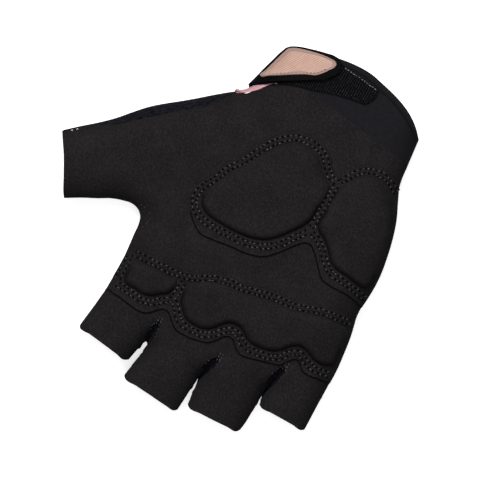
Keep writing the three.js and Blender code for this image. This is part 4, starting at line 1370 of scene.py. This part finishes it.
def small_stitches():
    """Light stitches on the loop patch and along the inlay, two white tacks at the thumb mouth, and dark
    stitches round the crotches of the thumb and the fingers."""
    places, turns = walk(LOOP_STITCH_LINE, 1.35, 0.5)
    on_loop = stitch_set(wander(places, 0.12), turns, LOOP + STITCH_LIFT, 0.9, 0.36)
    tacks = stitch_set(np.array(THUMB_TACKS), np.array([(0.8, 0.6)] * 2), STITCH_LIFT, 0.9, 0.5)
    sewn("thumb_tacks", [tacks], WHITE_THREAD_LOOK)
    places, turns = walk(INLAY_STITCH_LINE, 1.5, 0.5)
    on_inlay = stitch_set(places, turns, 0.3, 1.0, 0.42, surface=tab_surface)
    sewn("light_stitches", [on_loop, on_inlay], LIGHT_THREAD_LOOK)
    places, turns = walk(CROTCH_LINE, 1.6, 0.5)
    dark = [stitch_set(wander(places, 0.25), turns, 0.02, 0.9, 0.3)]
    for x, y in CREASES.values():
        tack = np.array([(x + side, y - drop) for side in (-0.6, 0.6) for drop in (-1.0, 0.4, 1.8)])
        dark.append(stitch_set(tack, np.array([(0.3, -0.95)] * len(tack)), STITCH_LIFT, 1.0, 0.4))
    for edge in FINGER_EDGES.values():
        places, turns = (values[:EDGE_STITCHES] for values in walk(edge, 1.5, 0.6))
        dark.append(stitch_set(wander(places, 0.2), turns, 0.02, 0.8, 0.3))
    sewn("seam_stitches", dark, THREAD_LOOK)


double_rows()
small_stitches()


def studio():
    """White light-table floor, a wide softbox overhead towards the thumb and wrist, and a dim even sky."""
    middle = (cad_low + cad_high) / 2
    bpy.ops.mesh.primitive_plane_add(size=6, location=(middle.x, middle.y, cad_low.z - FLOOR_DROP))
    floor = bpy.context.object
    floor.name = "floor"
    m = Finish("floor_finish", Base_Color=(0.95, 0.95, 0.95, 1), Roughness=1.0, Specular_IOR_Level=0.0,
               Emission_Color=(1, 1, 1, 1), Emission_Strength=0.7)
    floor.data.materials.append(m.material)
    floor.visible_diffuse = False
    floor.visible_glossy = False
    world = bpy.data.worlds.new("studio")
    world.use_nodes = True
    sky = world.node_tree.nodes["Background"].inputs
    sky["Color"].default_value = (1, 1, 1, 1)
    sky["Strength"].default_value = 0.2
    bpy.context.scene.world = world
    for name, (place, power, size) in LAMPS.items():
        lamp = bpy.data.lights.new(name, "AREA")
        lamp.energy = power
        lamp.size = size
        holder = bpy.data.objects.new(name, lamp)
        holder.location = Vector(place) + middle
        holder.rotation_euler = (middle - holder.location).to_track_quat("-Z", "Y").to_euler()
        bpy.context.scene.collection.objects.link(holder)
    bpy.context.scene.view_settings.view_transform = "Standard"


def camera():
    """Straight down on the glove from afar, turned as the photograph is."""
    lens = bpy.data.cameras.new("camera")
    lens.sensor_width = SENSOR
    lens.lens = SENSOR * CAMERA_HEIGHT / (FRAME_PIXELS * PIXEL)
    lens.clip_end = 10
    holder = bpy.data.objects.new("camera", lens)
    aim = np.array([*CAMERA_AIM, SEAM + CAMERA_HEIGHT]) + FRAME_SHIFT
    holder.matrix_world = Matrix.Translation(Vector(aim * MM)) @ Matrix.Rotation(CAMERA_TURN, 4, "Z")
    bpy.context.scene.collection.objects.link(holder)
    bpy.context.scene.camera = holder


studio()
camera()
